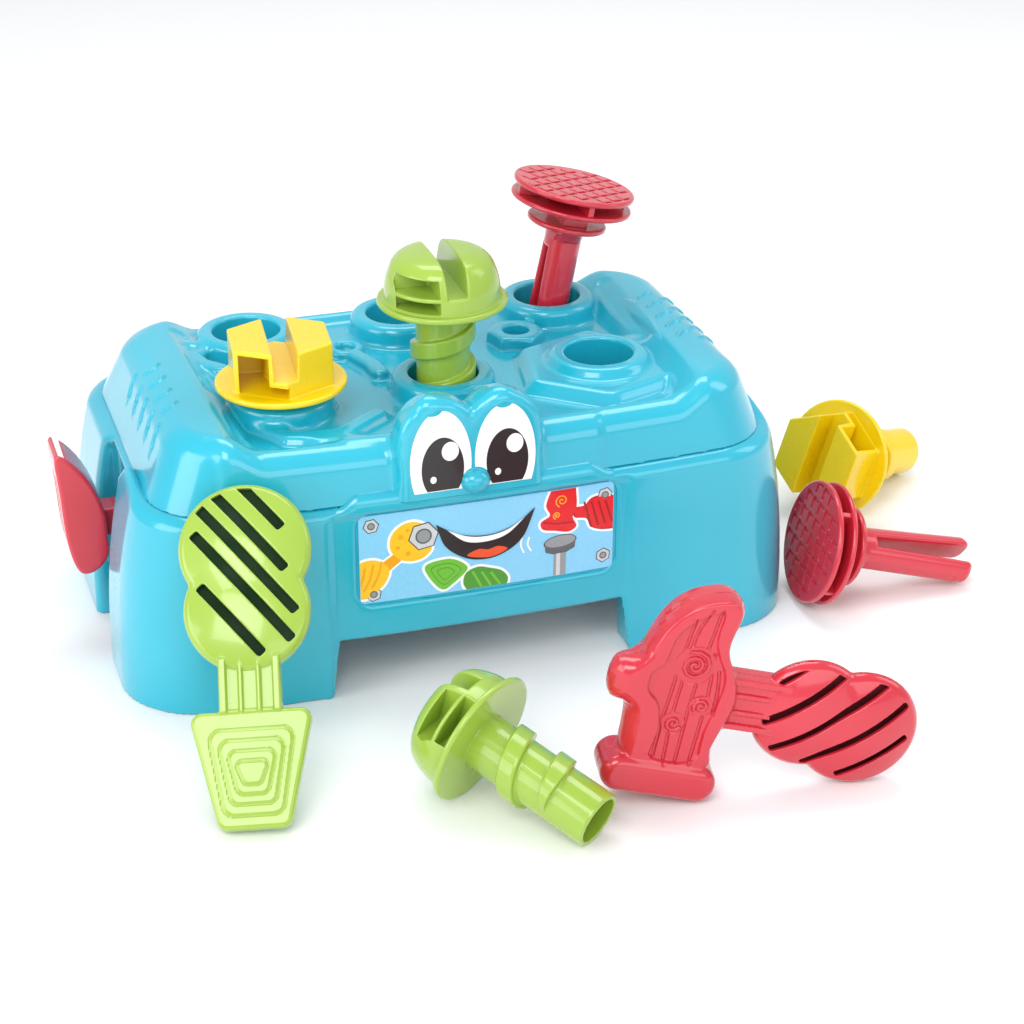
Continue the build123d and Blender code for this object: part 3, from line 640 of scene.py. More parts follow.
def nail(x, y, z):
    r = np.sqrt(x * x + y * y)
    f = rmax(r - 31.5, slab(z, 7.6, 10.6), 1.2)
    f = rmax(f, -mx(nail_dashes(x, y) - 0.85, 9.5 - z), 0.25)
    f = mn(f, rmax(r - 31.5, slab(z, 0.0, 2.6), 1.1))
    ribs = None
    for a in (0.0, 90.0):
        u = x * math.sin(math.radians(a)) - y * math.cos(math.radians(a))
        ribs = np.abs(u) - 1.5 if ribs is None else mn(ribs, np.abs(u) - 1.5)
    f = mn(f, mx(ribs, r - 29.6, slab(z, 2.0, 8.4)))
    f = mn(f, rmax(rrect(x, y, 13.5, 6.5, 1.5), slab(z, -8.5, 0.6), 0.4))
    f = mn(f, rmax(r - 20.7, slab(z, -11.0, -8.0), 1.1))
    # two half-round prongs that spread a little
    t = np.clip((-11 - z) / 65.0, 0, 1)
    a_ = 10.6 + 2.0 * t + 3.9 * np.clip((z + 18.5) / 7.5, 0, 1)
    b_ = 9.4 + 0.2 * t
    q = np.sqrt((x / a_) ** 2 + (y / b_) ** 2)
    side = (q - 1) * F(8.2)
    sh = rmax(side, slab(z, -80.0, -9.5), 5.0)
    gap = mx(np.abs(x) - (2.6 + 2.2 * np.clip((-24 - z) / 56.0, 0, 1)), z + 24.0)
    sh = rmax(sh, -gap, 2.2)
    sh = rmax(sh, -mx(np.abs(y) - 3.2, 9.4 + 3.2 * t - np.abs(x), z + 18.0, -70.0 - z), 0.8)
    return mn(f, sh)


def lying(x, y, azimuth, r_head, r_end, length, roll):
    el = math.atan2(r_head - r_end, length)
    az_ = math.radians(azimuth)
    a = -np.array([math.cos(el) * math.cos(az_), math.cos(el) * math.sin(az_), -math.sin(el)])
    w = np.array([0, 0, 1.0]) - a * a[2]
    w /= np.linalg.norm(w)
    h = np.cross(a, w)
    yd = w * math.cos(math.radians(roll)) + h * math.sin(math.radians(roll))
    return ((BX + x, BY + y, r_head * math.cos(el)), np.cross(yd, a), yd, a)


def frame_at(o, xd, zd):
    xd, zd = np.array(xd, float), np.array(zd, float)
    return ((BX + o[0], BY + o[1], o[2]), xd, np.cross(zd, xd), zd)


NAIL_ROLL, NAIL_REST = -35, 12.5


def pegs():
    h = 0.62
    c6, s6 = math.cos(math.radians(-6)), math.sin(math.radians(-6))
    _, d = build("hex_bolt_in_socket", hex_bolt, (-33, -33, -65.5), (33, 33, 24.5), h, YELLOW, "seated_yellow_bolt", ("yellow_bolt_seated",),
                 frame_at((-80, -40.2, 136.6), (c6, s6, 0), (0, 0, 1)))
    again("hex_bolt_lying", d, YELLOW, "loose_yellow_bolt", ("yellow_bolt_loose",), lying(239.1, 6.9, 30.1, 31.5, 13.0, 64.0, -8))
    _, d = build("dome_bolt_in_socket", dome_bolt, (-33, -33, -65.5), (33, 33, 28.5), h, GREEN, "raised_green_bolt", ("green_bolt_raised",),
                 frame_at((0, -40.2, 168.6), (1, 0, 0), (0, 0, 1)))
    again("dome_bolt_lying", d, GREEN, "loose_green_bolt", ("green_bolt_loose",), lying(-32.7, -209.9, -53.6, 31.5, 13.0, 64.0, 176))
    ax = (math.sin(math.radians(12)), 0, math.cos(math.radians(12)))
    _, d = build("nail_in_socket", nail, (-33, -33, -81.5), (33, 33, 12.5), h, RED, "raised_red_nail", ("red_nail_raised",),
                 frame_at((82.4 + 49 * ax[0], 40.2, 133 + 49 * ax[2]), (0, 1, 0), ax))
    again("nail_lying", d, RED, "loose_red_nail", ("red_nail_loose",), lying(190.5, -86.0, -3.6, 31.5, NAIL_REST, 74.0, NAIL_ROLL))


# ------------------------------------------------------------------ hammer: x along the handle, y up, z towards the front
HEAD = [(-27.5, 24), (-27.6, 32), (-26.2, 41), (-25.8, 51.2), (-32.2, 55), (-33, 64), (-28.8, 73), (-19.4, 74.4), (-15.2, 82),
        (-8.3, 91), (2.1, 98.6), (14.6, 101.2), (22.6, 99.6), (26, 94.4), (23.4, 86), (20.1, 78.2), (20.0, 71),
        (23.5, 58.6), (23.9, 48.8), (20, 39), (13.9, 26.7), (11.5, 16), (-20, 18)]
HEAD_OUT = closed(HEAD[:-2] + [(11.5, 18), (-8, 19), (-26, 23)], 3)
FACE = closed([(17.0, 99.6), (21.0, 97.6), (20.9, 91.4), (18.2, 84.4), (17.6, 75.4), (20.9, 65.6), (19.7, 52.2), (14.0, 39.2), (9.2, 26.2), (8.4, 18.0),
               (-19.0, 22.0), (-17.4, 30.3), (-13.8, 42), (-14.4, 52.0), (-17.4, 57.0), (-19.6, 63.0), (-17.6, 72.0), (-11.9, 74.8), (-10.2, 79.0),
               (-8.1, 86.0), (-1.6, 94.6), (8.0, 99.2)], 3)
PANEL = closed([(-14.6, 25.0), (-13.4, 34), (-11.4, 41.4), (-12.2, 52.7), (-16.7, 60.3), (-14.8, 69.4), (-9.2, 73.5), (-4.9, 85.0), (3.0, 92.4), (14.0, 96.0),
                (16.5, 94.2), (13.7, 82.8), (14.7, 74.6), (17.7, 63.9), (15.6, 52.6), (9.0, 35.8), (4.5, 21.5)], 3)
SLOTS_H = [(48.3, 59.3, 21), (54.6, 47.5, 44), (66.5, 37.5, 61), (77.8, 27.5, 54), (86.0, 16.0, 36)]


def spiral(cx, cy, r, turns, start):
    pts = []
    for a in np.linspace(0, turns * 2 * math.pi, int(10 * turns) + 2):
        q = r * (0.12 + 0.88 * a / (turns * 2 * math.pi))
        pts.append((cx + q * math.cos(a + start), cy + q * math.sin(a + start)))
    return pts


SPIRALS = [spiral(4.1, 70.1, 7.2, 2.1, 1.2), spiral(7.3, 49.3, 3.5, 1.5, 0.4), spiral(-4.8, 41.9, 3.7, 1.5, 2.4)]
GRAIN = [sampled(q, 3) for q in (
    [(-8.9, 22.0), (-5.6, 44), (-1.7, 60.8), (3.9, 83.6), (11.0, 97.0)],
    [(-3.4, 22.1), (1.0, 44), (4.8, 60.3), (10.8, 81.2), (15.3, 96.5)],
    [(2.8, 20.6), (7.2, 40), (10.2, 54.0), (12.8, 75.0)],
    [(-13.4, 26.0), (-9.9, 43), (-6.6, 55.3), (-2.1, 72.5), (4.0, 93.0)],
    [(12.5, 45.0), (14.4, 55), (14.8, 66.0)])]


def lens(x, y, cx, cy, r, t0, t1):
    q = ((x - cx) ** 2 + (y - cy) ** 2) / (r * r)
    return t0 + t1 * np.clip(1 - q, 0, 1)


# a thin dark sheet across the middle of the grip lobes: painted shade inside the hollow grip, seen through the slots
def grip_shade_sheet(lobes):
    def shade_sheet(x, y, z):
        out = None
        for cx, cy, r in lobes:
            d = circ(x - cx, y - cy, r)
            out = d if out is None else mn(out, d)
        return mx(out + 1.8, np.abs(z) - 0.8)
    return shade_sheet


def grip(x, y, z, lobes, slots, half, dome, turn, wide=1.9):
    """Two overlapping domed discs, hollow, with diagonal slots on both faces."""
    out = None
    for cx, cy, r in lobes:
        d = rmax(circ(x - cx, y - cy, r), (np.abs(z) - lens(x, y, cx, cy, r, half, dome)) * F(0.95), 3.0)
        out = d if out is None else smin(out, d, 1.6)
    inner = out + 2.2
    edge = mn(*[circ(x - cx, y - cy, r) for cx, cy, r in lobes])
    f = mx(out, -inner)
    c, s = math.cos(math.radians(turn)), math.sin(math.radians(turn))
    cut = None
    for cx, cy, ln in slots:
        for side in (1, -1):
            # the far face has the same slots seen from its own side
            u, v = (x - cx), (y - cy)
            ss = s if side > 0 or lobes[0][0] != 0 else -s
            if side < 0 and lobes[0][0] == 0:
                u = x + cx
            a, b = u * c + v * ss, -u * ss + v * c
            d = mx(rrect(a, b, ln / 2, wide, 1.2), 1.2 - side * z, edge + 2.6)
            cut = d if cut is None else mn(cut, d)
    f = rmax(f, -cut, 0.5)
    return f, out


def hammer(x, y, z):
    az = np.abs(z)
    out, face = poly2(x, y, HEAD_OUT), poly2(x, y, FACE)
    # the side swells from the rim of the face out to the middle
    q = 1 - np.sqrt(np.maximum(1 - (az / 10.2) ** 2, 0))
    body = (out + (face - out) * np.clip(q, 0, 1)) * F(0.62)
    panel = poly2(x, y, PANEL)
    sunk = (1 - ramp(panel, -0.8, 0.2)) * 1.5
    grain = None
    for g in GRAIN:
        d = path2(x, y, g)
        grain = d if grain is None else mn(grain, d)
    curl = None
    for g in SPIRALS:
        d = path2(x, y, g)
        curl = d if curl is None else mn(curl, d)
    knob = mn(circ(x - 4.1, y - 70.1, 8.6), circ(x - 7.3, y - 49.3, 4.5), circ(x + 4.8, y - 41.9, 4.7))
    open_ = ramp(knob, 0.2, 1.2)
    top = az - (9.4 - sunk - 0.95 * (1 - ramp(grain, 0.35, 0.95)) * open_ + 1.2 * (1 - ramp(curl, 0.4, 1.15)) - 0.4 * (1 - open_))
    body = rmax(body, top * F(0.85), 0.9)
    # thick striking base with rolled edges
    base = rmax(seg2(x, y, -28.0, 18.5, 6.5, 9.6) - 8.8, az - 12.0, 4.6)
    f = smin(body, base, 1.6)
    # neck with ribs along it
    c, s = math.cos(math.radians(-14)), math.sin(math.radians(-14))
    u, v = (x - 30) * c + (y - 46) * s, -(x - 30) * s + (y - 46) * c
    rib = 1.3 * (1 - ramp(np.abs(np.abs(v) - 4.2), 0.8, 1.6)) + 1.9 * (1 - ramp(np.abs(np.abs(v) - 11.2), 1.2, 2.0))
    neck = rmax(rrect(u, v, 16, 12.8, 1.0), (az - 4.4 - rib) * F(0.8), 0.9)
    g, whole = grip(x, y, z, ((57.6, 37.6, 26.5), (80.0, 28.2, 28.0)), SLOTS_H, 2.8, 7.2, 29)
    neck = mx(neck, -(whole + 1.0))
    f = smin(f, neck, 1.4)
    f = smin(f, g, 0.8)
    return f


def half_of(f, side):
    def g(x, y, z):
        return mx(f(x, y, z), 0.06 - side * z)
    return g


def hammer_pieces():
    place = ((BX + 51, BY - 232, 0), (0.983, -0.182, 0), (0, 0, 1), (-0.182, -0.983, 0))
    for nm, s, node in (("hammer_front_half", 1, "hammer_front_shell"), ("hammer_back_half", -1, "hammer_back_shell")):
        lo, hi = (-38.5, -0.8, -0.6), (109.5, 105.5, 14.2)
        if s < 0:
            lo, hi = (-38.5, -0.8, -14.2), (109.5, 105.5, 0.6)
        build(nm, half_of(hammer, s), lo, hi, 0.6, RED, "hammer", (node,), place)
    # dark red sheet inside the hammer grip: painted shade behind the slots
    build("hammer_grip_web", grip_shade_sheet(((57.6, 37.6, 26.5), (80.0, 28.2, 28.0))), (29.0, -1.0, -1.6), (110.0, 66.0, 1.6), 0.8, SHADE_RED, "hammer", (), place)


# ------------------------------------------------------------------ screwdriver: y up the handle, z towards the front
SLOTS_D = [(7.5, 149.0, 30), (0, 140.0, 56), (-0.5, 126, 70), (-1.5, 112, 66), (-7, 97, 42)]


def driver(x, y, z):
    az = np.abs(z)
    blade2 = poly2(x, y, [(-11.6, 9.4), (11.6, 9.4), (21.4, 51.6), (-21.4, 51.6)]) - 5.0
    blade = rmax(blade2, az - 4.6, 2.0)
    # four nested outlines pressed into the blade
    for w0, w1, y0, y1, rr in ((13.5, 18.2, 10.4, 48.2, 5.0), (10.4, 14.0, 15.0, 43.4, 4.4), (7.2, 10.0, 19.4, 38.6, 3.6), (4.4, 6.6, 23.6, 34.0, 2.4)):
        e = poly2(x, y, [(-w0 + rr, y0 + rr), (w0 - rr, y0 + rr), (w1 - rr, y1 - rr), (-w1 + rr, y1 - rr)]) - rr
        stair = ramp(-e, -0.6, 0.6) * 0.55
        groove = 0.35 * (1 - ramp(np.abs(e), 0.4, 1.0))
        blade = blade - (stair - groove) * ramp(az, 3.2, 3.8) * F(0.9)
    v = np.abs(x)
    rib = 1.5 * (1 - ramp(np.abs(v - 4.0), 0.5, 1.3)) + 2.1 * (1 - ramp(np.abs(v - 12.0), 1.3, 2.1))
    neck = rmax(rrect(x, y - 68, 13.8, 12.5, 1.0), (az - 3.6 - rib) * F(0.8), 0.9)
    g, whole = grip(x, y, z, ((0.0, 102.0, 28.3), (0.0, 130.0, 29.7)), SLOTS_D, 4.2, 4.4, -50, 2.35)
    neck = mx(neck, -(whole + 1.0))
    f = smin(blade, neck, 1.2)
    return smin(f, g, 0.8)


def driver_pieces():
    lean, roll = math.radians(48.0), math.radians(-3.84)
    e1 = np.array([0.953, -0.304, 0.0])
    hb = np.array([0.304, 0.953, 0.0])
    e2 = hb * math.cos(lean) + np.array([0, 0, 1.0]) * math.sin(lean)
    sy = e2 * math.cos(roll) + e1 * math.sin(roll)
    sx = e1 * math.cos(roll) - e2 * math.sin(roll)
    place = ((BX - 135.9, BY - 210.8, 0), sx, sy, np.cross(sx, sy))
    for nm, s, node in (("screwdriver_front_half", 1, "screwdriver_front_shell"), ("screwdriver_back_half", -1, "screwdriver_back_shell")):
        lo, hi = (-31.0, 3.4, -0.6), (31.0, 161.0, 9.8)
        if s < 0:
            lo, hi = (-31.0, 3.4, -9.8), (31.0, 161.0, 0.6)
        build(nm, half_of(driver, s), lo, hi, 0.6, GREEN, "screwdriver", (node,), place)
    # dark green sheet inside the screwdriver grip: painted shade behind the slots
    build("screwdriver_grip_web", grip_shade_sheet(((0.0, 102.0, 28.3), (0.0, 130.0, 29.7))), (-31.0, 72.0, -1.6), (31.0, 161.0, 1.6), 0.8, SHADE_GREEN, "screwdriver", (), place)


# ------------------------------------------------------------------ vice jaw, bench millimetres
JAW = closed([(-187.6, 103.6), (-186.6, 86), (-185.3, 62), (-182.6, 47), (-178.5, 40.4), (-171.0, 42.0), (-165.4, 49.5), (-165.2, 60), (-165.4, 70),
              (-168.6, 82), (-174.5, 94), (-182.6, 103.4)], 3)


def jaw(x, y, z):
    p = poly2(x, z, JAW)
    f = rmax(p, np.abs(y + 10) - 13.0, 1.8)
    scoop = mx(p + 2.6, -20.4 - y)
    top = mx(poly2(x, z, [(-185.3, 112), (-185.2, 96), (-182.0, 96), (-183.0, 112)]), -20.4 - y)
    f = rmax(f, -mn(scoop, top), 0.7)
    for yy in (-15.5, -7.5):
        f = rmax(f, -mx(rrect(y - yy, z - 72, 1.5, 20, 1.4), x + 178.0), 0.5)
    neck = rmax(rrect(y + 10, z - 64, 6.8, 7.3, 1.2), slab(x, -166.8, -132.0), 0.6)
    return mn(f, neck)


def vice():
    build("vice_jaw_shell", jaw, (-189.0, -24.2, 39.2), (-131.0, 4.2, 105.0), 0.62, RED, "vice", ("vice_jaw",))


# ------------------------------------------------------------------ printed labels: thin layers of flat shapes
def flat_colour(name, c, rough=0.3):
    m = bpy.data.materials.new(name)
    m.use_nodes = True
    nt = m.node_tree
    b = nt.nodes["Principled BSDF"]
    tc = nt.nodes.new("ShaderNodeTexCoord")
    n = nt.nodes.new("ShaderNodeTexNoise")
    n.inputs["Scale"].default_value = 900.0
    n.inputs["Detail"].default_value = 2.0
    r = nt.nodes.new("ShaderNodeValToRGB")
    r.color_ramp.elements[0].position, r.color_ramp.elements[1].position = 0.35, 0.65
    r.color_ramp.elements[0].color = (c[0] * 0.94, c[1] * 0.94, c[2] * 0.94, 1)
    r.color_ramp.elements[1].color = (*c, 1)
    nt.links.new(tc.outputs["Object"], n.inputs["Vector"])
    nt.links.new(n.outputs["Fac"], r.inputs["Fac"])
    nt.links.new(r.outputs["Color"], b.inputs["Base Color"])
    mr = nt.nodes.new("ShaderNodeMapRange")
    mr.inputs["To Min"].default_value, mr.inputs["To Max"].default_value = rough * 0.9, rough * 1.2
    nt.links.new(n.outputs["Fac"], mr.inputs["Value"])
    nt.links.new(mr.outputs["Result"], b.inputs["Roughness"])
    b.inputs["Coat Weight"].default_value = 0.3
    b.inputs["Coat Roughness"].default_value = 0.08
    return m


INK = {k: flat_colour("print_" + k, srgb(*v)) for k, v in {
    "sky": (138, 208, 246), "white": (250, 250, 250), "black": (34, 30, 32), "tongue": (238, 84, 44), "orange": (246, 166, 20), "amber": (252, 196, 40),
    "red": (226, 24, 32), "dark_red": (170, 14, 26), "green": (110, 190, 50), "dark_green": (74, 152, 40), "grey": (150, 152, 156), "dark_grey": (92, 94, 98),
    "pale_grey": (206, 208, 212), "line": (70, 60, 58)}.items()}


def bow_y(x, gap):
    return -101.0 - 8.0 * (1 - (x / 159.0) ** 2) + gap


def art(name, shapes, surface, body="bench", grain=3.0):
    """shapes: (ink, outline points (x, z), layer). Each becomes a thin plate on the surface."""
    import bmesh
    from mathutils.geometry import tessellate_polygon
    me = bpy.data.meshes.new(name)
    verts, faces, mats, used = [], [], [], []
    for ink, pts, layer in shapes:
        if ink not in used:
            used.append(ink)
        # clean repeats
        q = [pts[0]]
        for p in pts[1:]:
            if abs(p[0] - q[-1][0]) + abs(p[1] - q[-1][1]) > 0.02:
                q.append(p)
        if abs(q[0][0] - q[-1][0]) + abs(q[0][1] - q[-1][1]) < 0.02:
            q.pop()
        area2 = sum(a[0] * b[1] - b[0] * a[1] for a, b in zip(q, q[1:] + q[:1]))
        if area2 < 0:
            q = q[::-1]
        off = 0.05 * layer
        t = 0.05
        base = len(verts)
        k = len(q)
        for x, z in q:
            verts.append(surface(x, z, off + t))
        for x, z in q:
            verts.append(surface(x, z, off))
        tris = tessellate_polygon([[Vector((x, z, 0)) for x, z in q]])
        for a, b, c in tris:
            s = (q[b][0] - q[a][0]) * (q[c][1] - q[a][1]) - (q[b][1] - q[a][1]) * (q[c][0] - q[a][0])
            tri = (a, b, c) if s > 0 else (a, c, b)
            faces.append(tuple(base + i for i in tri))
            mats.append(used.index(ink))
            faces.append(tuple(base + k + i for i in tri[::-1]))
            mats.append(used.index(ink))
        for i in range(k):
            j = (i + 1) % k
            faces.append((base + i, base + k + i, base + k + j, base + j))
            mats.append(used.index(ink))
    me.from_pydata([((BX + x) / 1000, (BY + y) / 1000, z / 1000) for x, y, z in verts], [], faces)
    for ink in used:
        me.materials.append(INK[ink])
    me.polygons.foreach_set("material_index", mats)
    me.update()
    ob = bpy.data.objects.new(name, me)
    bpy.context.scene.collection.objects.link(ob)
    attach(ob, body)
    return ob


def on_panel(x, z, off):
    return (x, bow_y(x, 3.1) - off, z)


def on_brow(x, z, off):
    return (x, -110.5 - off, z)


def ellipse(cx, cz, rx, rz, n=40, rot=0.0):
    c, s = math.cos(math.radians(rot)), math.sin(math.radians(rot))
    out = []
    for a in np.linspace(0, 2 * math.pi, n, endpoint=False):
        u, v = rx * math.cos(a), rz * math.sin(a)
        out.append((cx + u * c - v * s, cz + u * s + v * c))
    return out


def ring_shape(pts, cx, cz, k):
    return [(cx + (x - cx) * k, cz + (z - cz) * k) for x, z in pts]


def hexagon(cx, cz, r, rot):
    return [(cx + r * math.cos(math.radians(rot + 60 * k)), cz + r * math.sin(math.radians(rot + 60 * k))) for k in range(6)]


def clip_shape(pts, x0, x1, z0, z1):
    """Keeps a shape inside the printed area."""
    def cut(p, inside, meet):
        out = []
        for a, b in zip(p, p[1:] + p[:1]):
            if inside(a):
                out.append(a)
                if not inside(b):
                    out.append(meet(a, b))
            elif inside(b):
                out.append(meet(a, b))
        return out
    def at_x(v):
        return lambda a, b: (v, a[1] + (b[1] - a[1]) * (v - a[0]) / (b[0] - a[0]))
    def at_z(v):
        return lambda a, b: (a[0] + (b[0] - a[0]) * (v - a[1]) / (b[1] - a[1]), v)
    for test, meet in ((lambda p: p[0] >= x0, at_x(x0)), (lambda p: p[0] <= x1, at_x(x1)), (lambda p: p[1] >= z0, at_z(z0)), (lambda p: p[1] <= z1, at_z(z1))):
        if len(pts) < 3:
            return []
        pts = cut(pts, test, meet)
    return pts


def thick_line(pts, w):
    """A band of width w along points, with round ends."""
    p = [np.array(q, float) for q in pts]
    left, right = [], []
    for i, q in enumerate(p):
        d = p[min(i + 1, len(p) - 1)] - p[max(i - 1, 0)]
        d /= np.linalg.norm(d)
        n = np.array([-d[1], d[0]]) * w / 2
        left.append(tuple(q + n))
        right.append(tuple(q - n))
    def cap(c, a0):
        return [(c[0] + w / 2 * math.cos(a0 + t), c[1] + w / 2 * math.sin(a0 + t)) for t in np.linspace(0, math.pi, 7)[1:-1]]
    d1 = p[-1] - p[-2]
    d0 = p[0] - p[1]
    e1 = cap(p[-1], math.atan2(d1[1], d1[0]) - math.pi / 2)
    e0 = cap(p[0], math.atan2(d0[1], d0[0]) - math.pi / 2)
    return right + e1 + left[::-1] + e0


def grown(pts, r):
    """The outline moved outwards by r, for a pale border round a printed shape."""
    p = [np.array(q, float) for q in pts]
    a2 = sum(a[0] * b[1] - b[0] * a[1] for a, b in zip(p, p[1:] + p[:1]))
    s = 1 if a2 > 0 else -1
    out = []
    for i, q in enumerate(p):
        d0 = q - p[i - 1]
        d1 = p[(i + 1) % len(p)] - q
        d0, d1 = d0 / (np.linalg.norm(d0) + 1e-9), d1 / (np.linalg.norm(d1) + 1e-9)
        n = np.array([d0[1] + d1[1], -(d0[0] + d1[0])])
        n /= np.linalg.norm(n) + 1e-9
        out.append(tuple(q + s * n * r))
    return out


def labels():
    X0, X1, Z0, Z1 = -60.3, 65.3, 47.7, 93.3
    S = []

    def add(ink, pts, layer):
        pts = clip_shape(list(pts), X0, X1, Z0, Z1)
        if len(pts) >= 3:
            S.append((ink, pts, layer))

    # small nuts in the corners
    for cx, cz, rot in ((-54.5, 88.0, 8), (-54.0, 52.0, 20), (61.0, 87.0, 12), (60.5, 54.5, 25)):
        add("line", hexagon(cx, cz, 4.0, rot), 1)
        add("pale_grey", hexagon(cx, cz, 3.5, rot), 2)
        add("dark_grey", ellipse(cx, cz, 1.9, 1.9, 20), 3)
        add("grey", ellipse(cx, cz, 1.3, 1.3, 18), 4)
    # open spanner with a nut, at the left
    head = closed([(-28.5, 84.5), (-33.5, 87.5), (-40, 86.5), (-45, 81.5), (-45.5, 74.5), (-41.5, 69), (-35, 67), (-29, 68.5), (-25.5, 73), (-30.5, 75), (-34, 77.5), (-33, 81)], 5)
    stem = [(-43, 72.5), (-52, 66.5), (-49.5, 61.0), (-40.5, 68.0)]
    end_ = closed([(-46.5, 65), (-48, 58), (-53, 53), (-59, 50), (-66, 54), (-66, 63), (-61, 69), (-53, 70)], 5)
    for q in (head, stem, end_):
        add("white", grown(q, 1.3), 1)
    add("orange", stem, 2)
    add("amber", head, 3)
    add("amber", end_, 3)
    for k in range(3):
        add("orange", thick_line(sampled([(-50 - 4 * k, 68.5 - 1.2 * k), (-51.5 - 4 * k, 62 - 1.2 * k), (-54.5 - 4 * k, 56 - 1.4 * k)], 5), 1.1), 4)
    for cx, cz, r in ((-40.5, 80.5, 1.3), (-42.0, 75.0, 1.0), (-37.0, 71.3, 1.2), (-37.2, 83.6, 0.9)):
        add("orange", ellipse(cx, cz, r, r, 16), 4)
    add("line", hexagon(-29.5, 79.5, 7.6, 10), 5)
    add("pale_grey", hexagon(-29.5, 79.5, 7.0, 10), 6)
    add("dark_grey", ellipse(-29.5, 79.5, 4.0, 4.0, 30), 7)
    add("grey", ellipse(-29.5, 79.5, 3.2, 3.2, 30), 8)
    # toy screwdriver, low at the middle left
    blade_ = closed([(-29, 61.0), (-27, 64.5), (-17, 65.5), (-10, 62.0), (-8.5, 58.0), (-16, 51.5), (-20, 49.5), (-24, 52.5)], 4)
    grip_ = closed([(-9, 56.5), (-3, 59.0), (3, 57.5), (9, 55), (12, 50), (8, 44), (-4, 44), (-10, 50)], 5)
    for q in (blade_, grip_):
        add("white", grown(q, 1.3), 1)
    add("dark_green", grip_, 2)
    add("green", blade_, 3)
    for k in (0.66, 0.36):
        add("dark_green", ring_shape(blade_, -19, 58.2, k + 0.05), 4 + (k < 0.5) * 2)
        add("green", ring_shape(blade_, -19, 58.2, k), 5 + (k < 0.5) * 2)
    for k in range(3):
        add("green", thick_line([(-5.5 + 4.6 * k, 56.5 - 0.9 * k), (-1.5 + 4.6 * k, 48.5)], 1.3), 3)
    # toy hammer, at the right
    hd = closed([(33.5, 93.5), (31, 86), (33, 80.5), (28.5, 77.5), (29.5, 73.5), (35.5, 72), (42.5, 70.5), (46.5, 73), (44.5, 78), (46.5, 84), (46.0, 93.5), (47, 97), (35, 97)], 4)
    gp = closed([(45, 82.5), (50.5, 83), (54, 86.5), (60, 87), (68, 84), (68, 70), (61, 68.5), (54, 71), (51.5, 76), (45.5, 77.5)], 4)
    for q in (hd, gp):
        add("white", grown(q, 1.2), 1)
    add("dark_red", gp, 2)
    add("red", ring_shape(gp, 57, 78, 0.93), 3)
    add("red", hd, 4)
    for k in range(4):
        add("dark_red", thick_line([(50.5 + 3.6 * k, 84.5 - 0.3 * k), (54.0 + 3.6 * k, 71.5 + 0.3 * k)], 1.1), 4)
    add("dark_red", thick_line([(29.8, 77.2), (36.5, 75.6), (45.0, 75.2)], 0.8), 5)
    for cx, cz, r in ((39.0, 87.5, 3.4), (36.5, 80.0, 2.0)):
        add("orange", thick_line(spiral(cx, cz, r, 1.6, 0.5), 0.6), 5)
    # round-headed nail, low at the right
    add("line", ellipse(38.3, 65.7, 8.4, 3.6, 30, 4), 2)
    add("dark_grey", [(30.4, 65.4), (46.2, 66.6), (45.8, 61.6), (41.5, 59.6), (35.0, 59.3), (30.9, 60.8)], 3)
    add("grey", ellipse(38.3, 66.0, 7.8, 3.0, 30, 4), 4)
    add("grey", [(35.2, 59.4), (41.4, 59.8), (41.2, 44), (35.0, 44)], 2)
    add("pale_grey", [(36.4, 59.4), (38.4, 59.6), (38.2, 44), (36.2, 44)], 3)
    # knock marks beside the hammer
    for k in range(2):
        add("white", thick_line(sampled([(22.5 - 3.6 * k, 70.5 + 0.6 * k), (21.8 - 3.4 * k, 67.0), (23.4 - 3.6 * k, 63.4 - 0.4 * k)], 4), 0.9), 2)
    # a plain crescent smile of its own outline
    up = sampled([(-23.5, 84.5), (-12, 77.8), (2.0, 75.4), (15, 78.6), (25.5, 86.4)], 8)
    low = sampled([(25.5, 86.4), (19.5, 72.0), (11, 65.2), (1.0, 62.8), (-9.5, 65.0), (-19, 72.5), (-23.5, 84.5)], 8)
    add("black", up + low[1:-1], 9)
    teeth = sampled([(-17.8, 80.6), (-8, 76.2), (2.0, 75.0), (12, 77.0), (20.2, 82.0)], 8) + sampled([(20.2, 82.0), (11.5, 74.6), (1.5, 72.2), (-9, 73.6), (-17.8, 80.6)], 8)[1:-1]
    add("white", teeth, 10)
    add("tongue", closed([(-8.4, 65.9), (-3.0, 68.6), (2.0, 67.8), (7.0, 68.8), (11.6, 66.8), (7.0, 64.4), (0.8, 63.6)], 5), 10)
    art("panel_print", S, on_panel)

    # plain round eyes: dark oval and one highlight each
    E = []
    for px, pz in ((-21.0, 115.2), (10.2, 115.6)):
        pupil = clip_shape(ellipse(px, pz, 10.2, 16.0, 48), -60, 60, 104.4, 160)
        E.append(("black", pupil, 1))
        E.append(("white", ellipse(px + 3.6, 123.8, 4.1, 4.8, 28), 2))
        E.append(("white", ellipse(px - 4.6, 110.2, 1.5, 1.8, 16), 2))
    art("eye_print", E, on_brow)


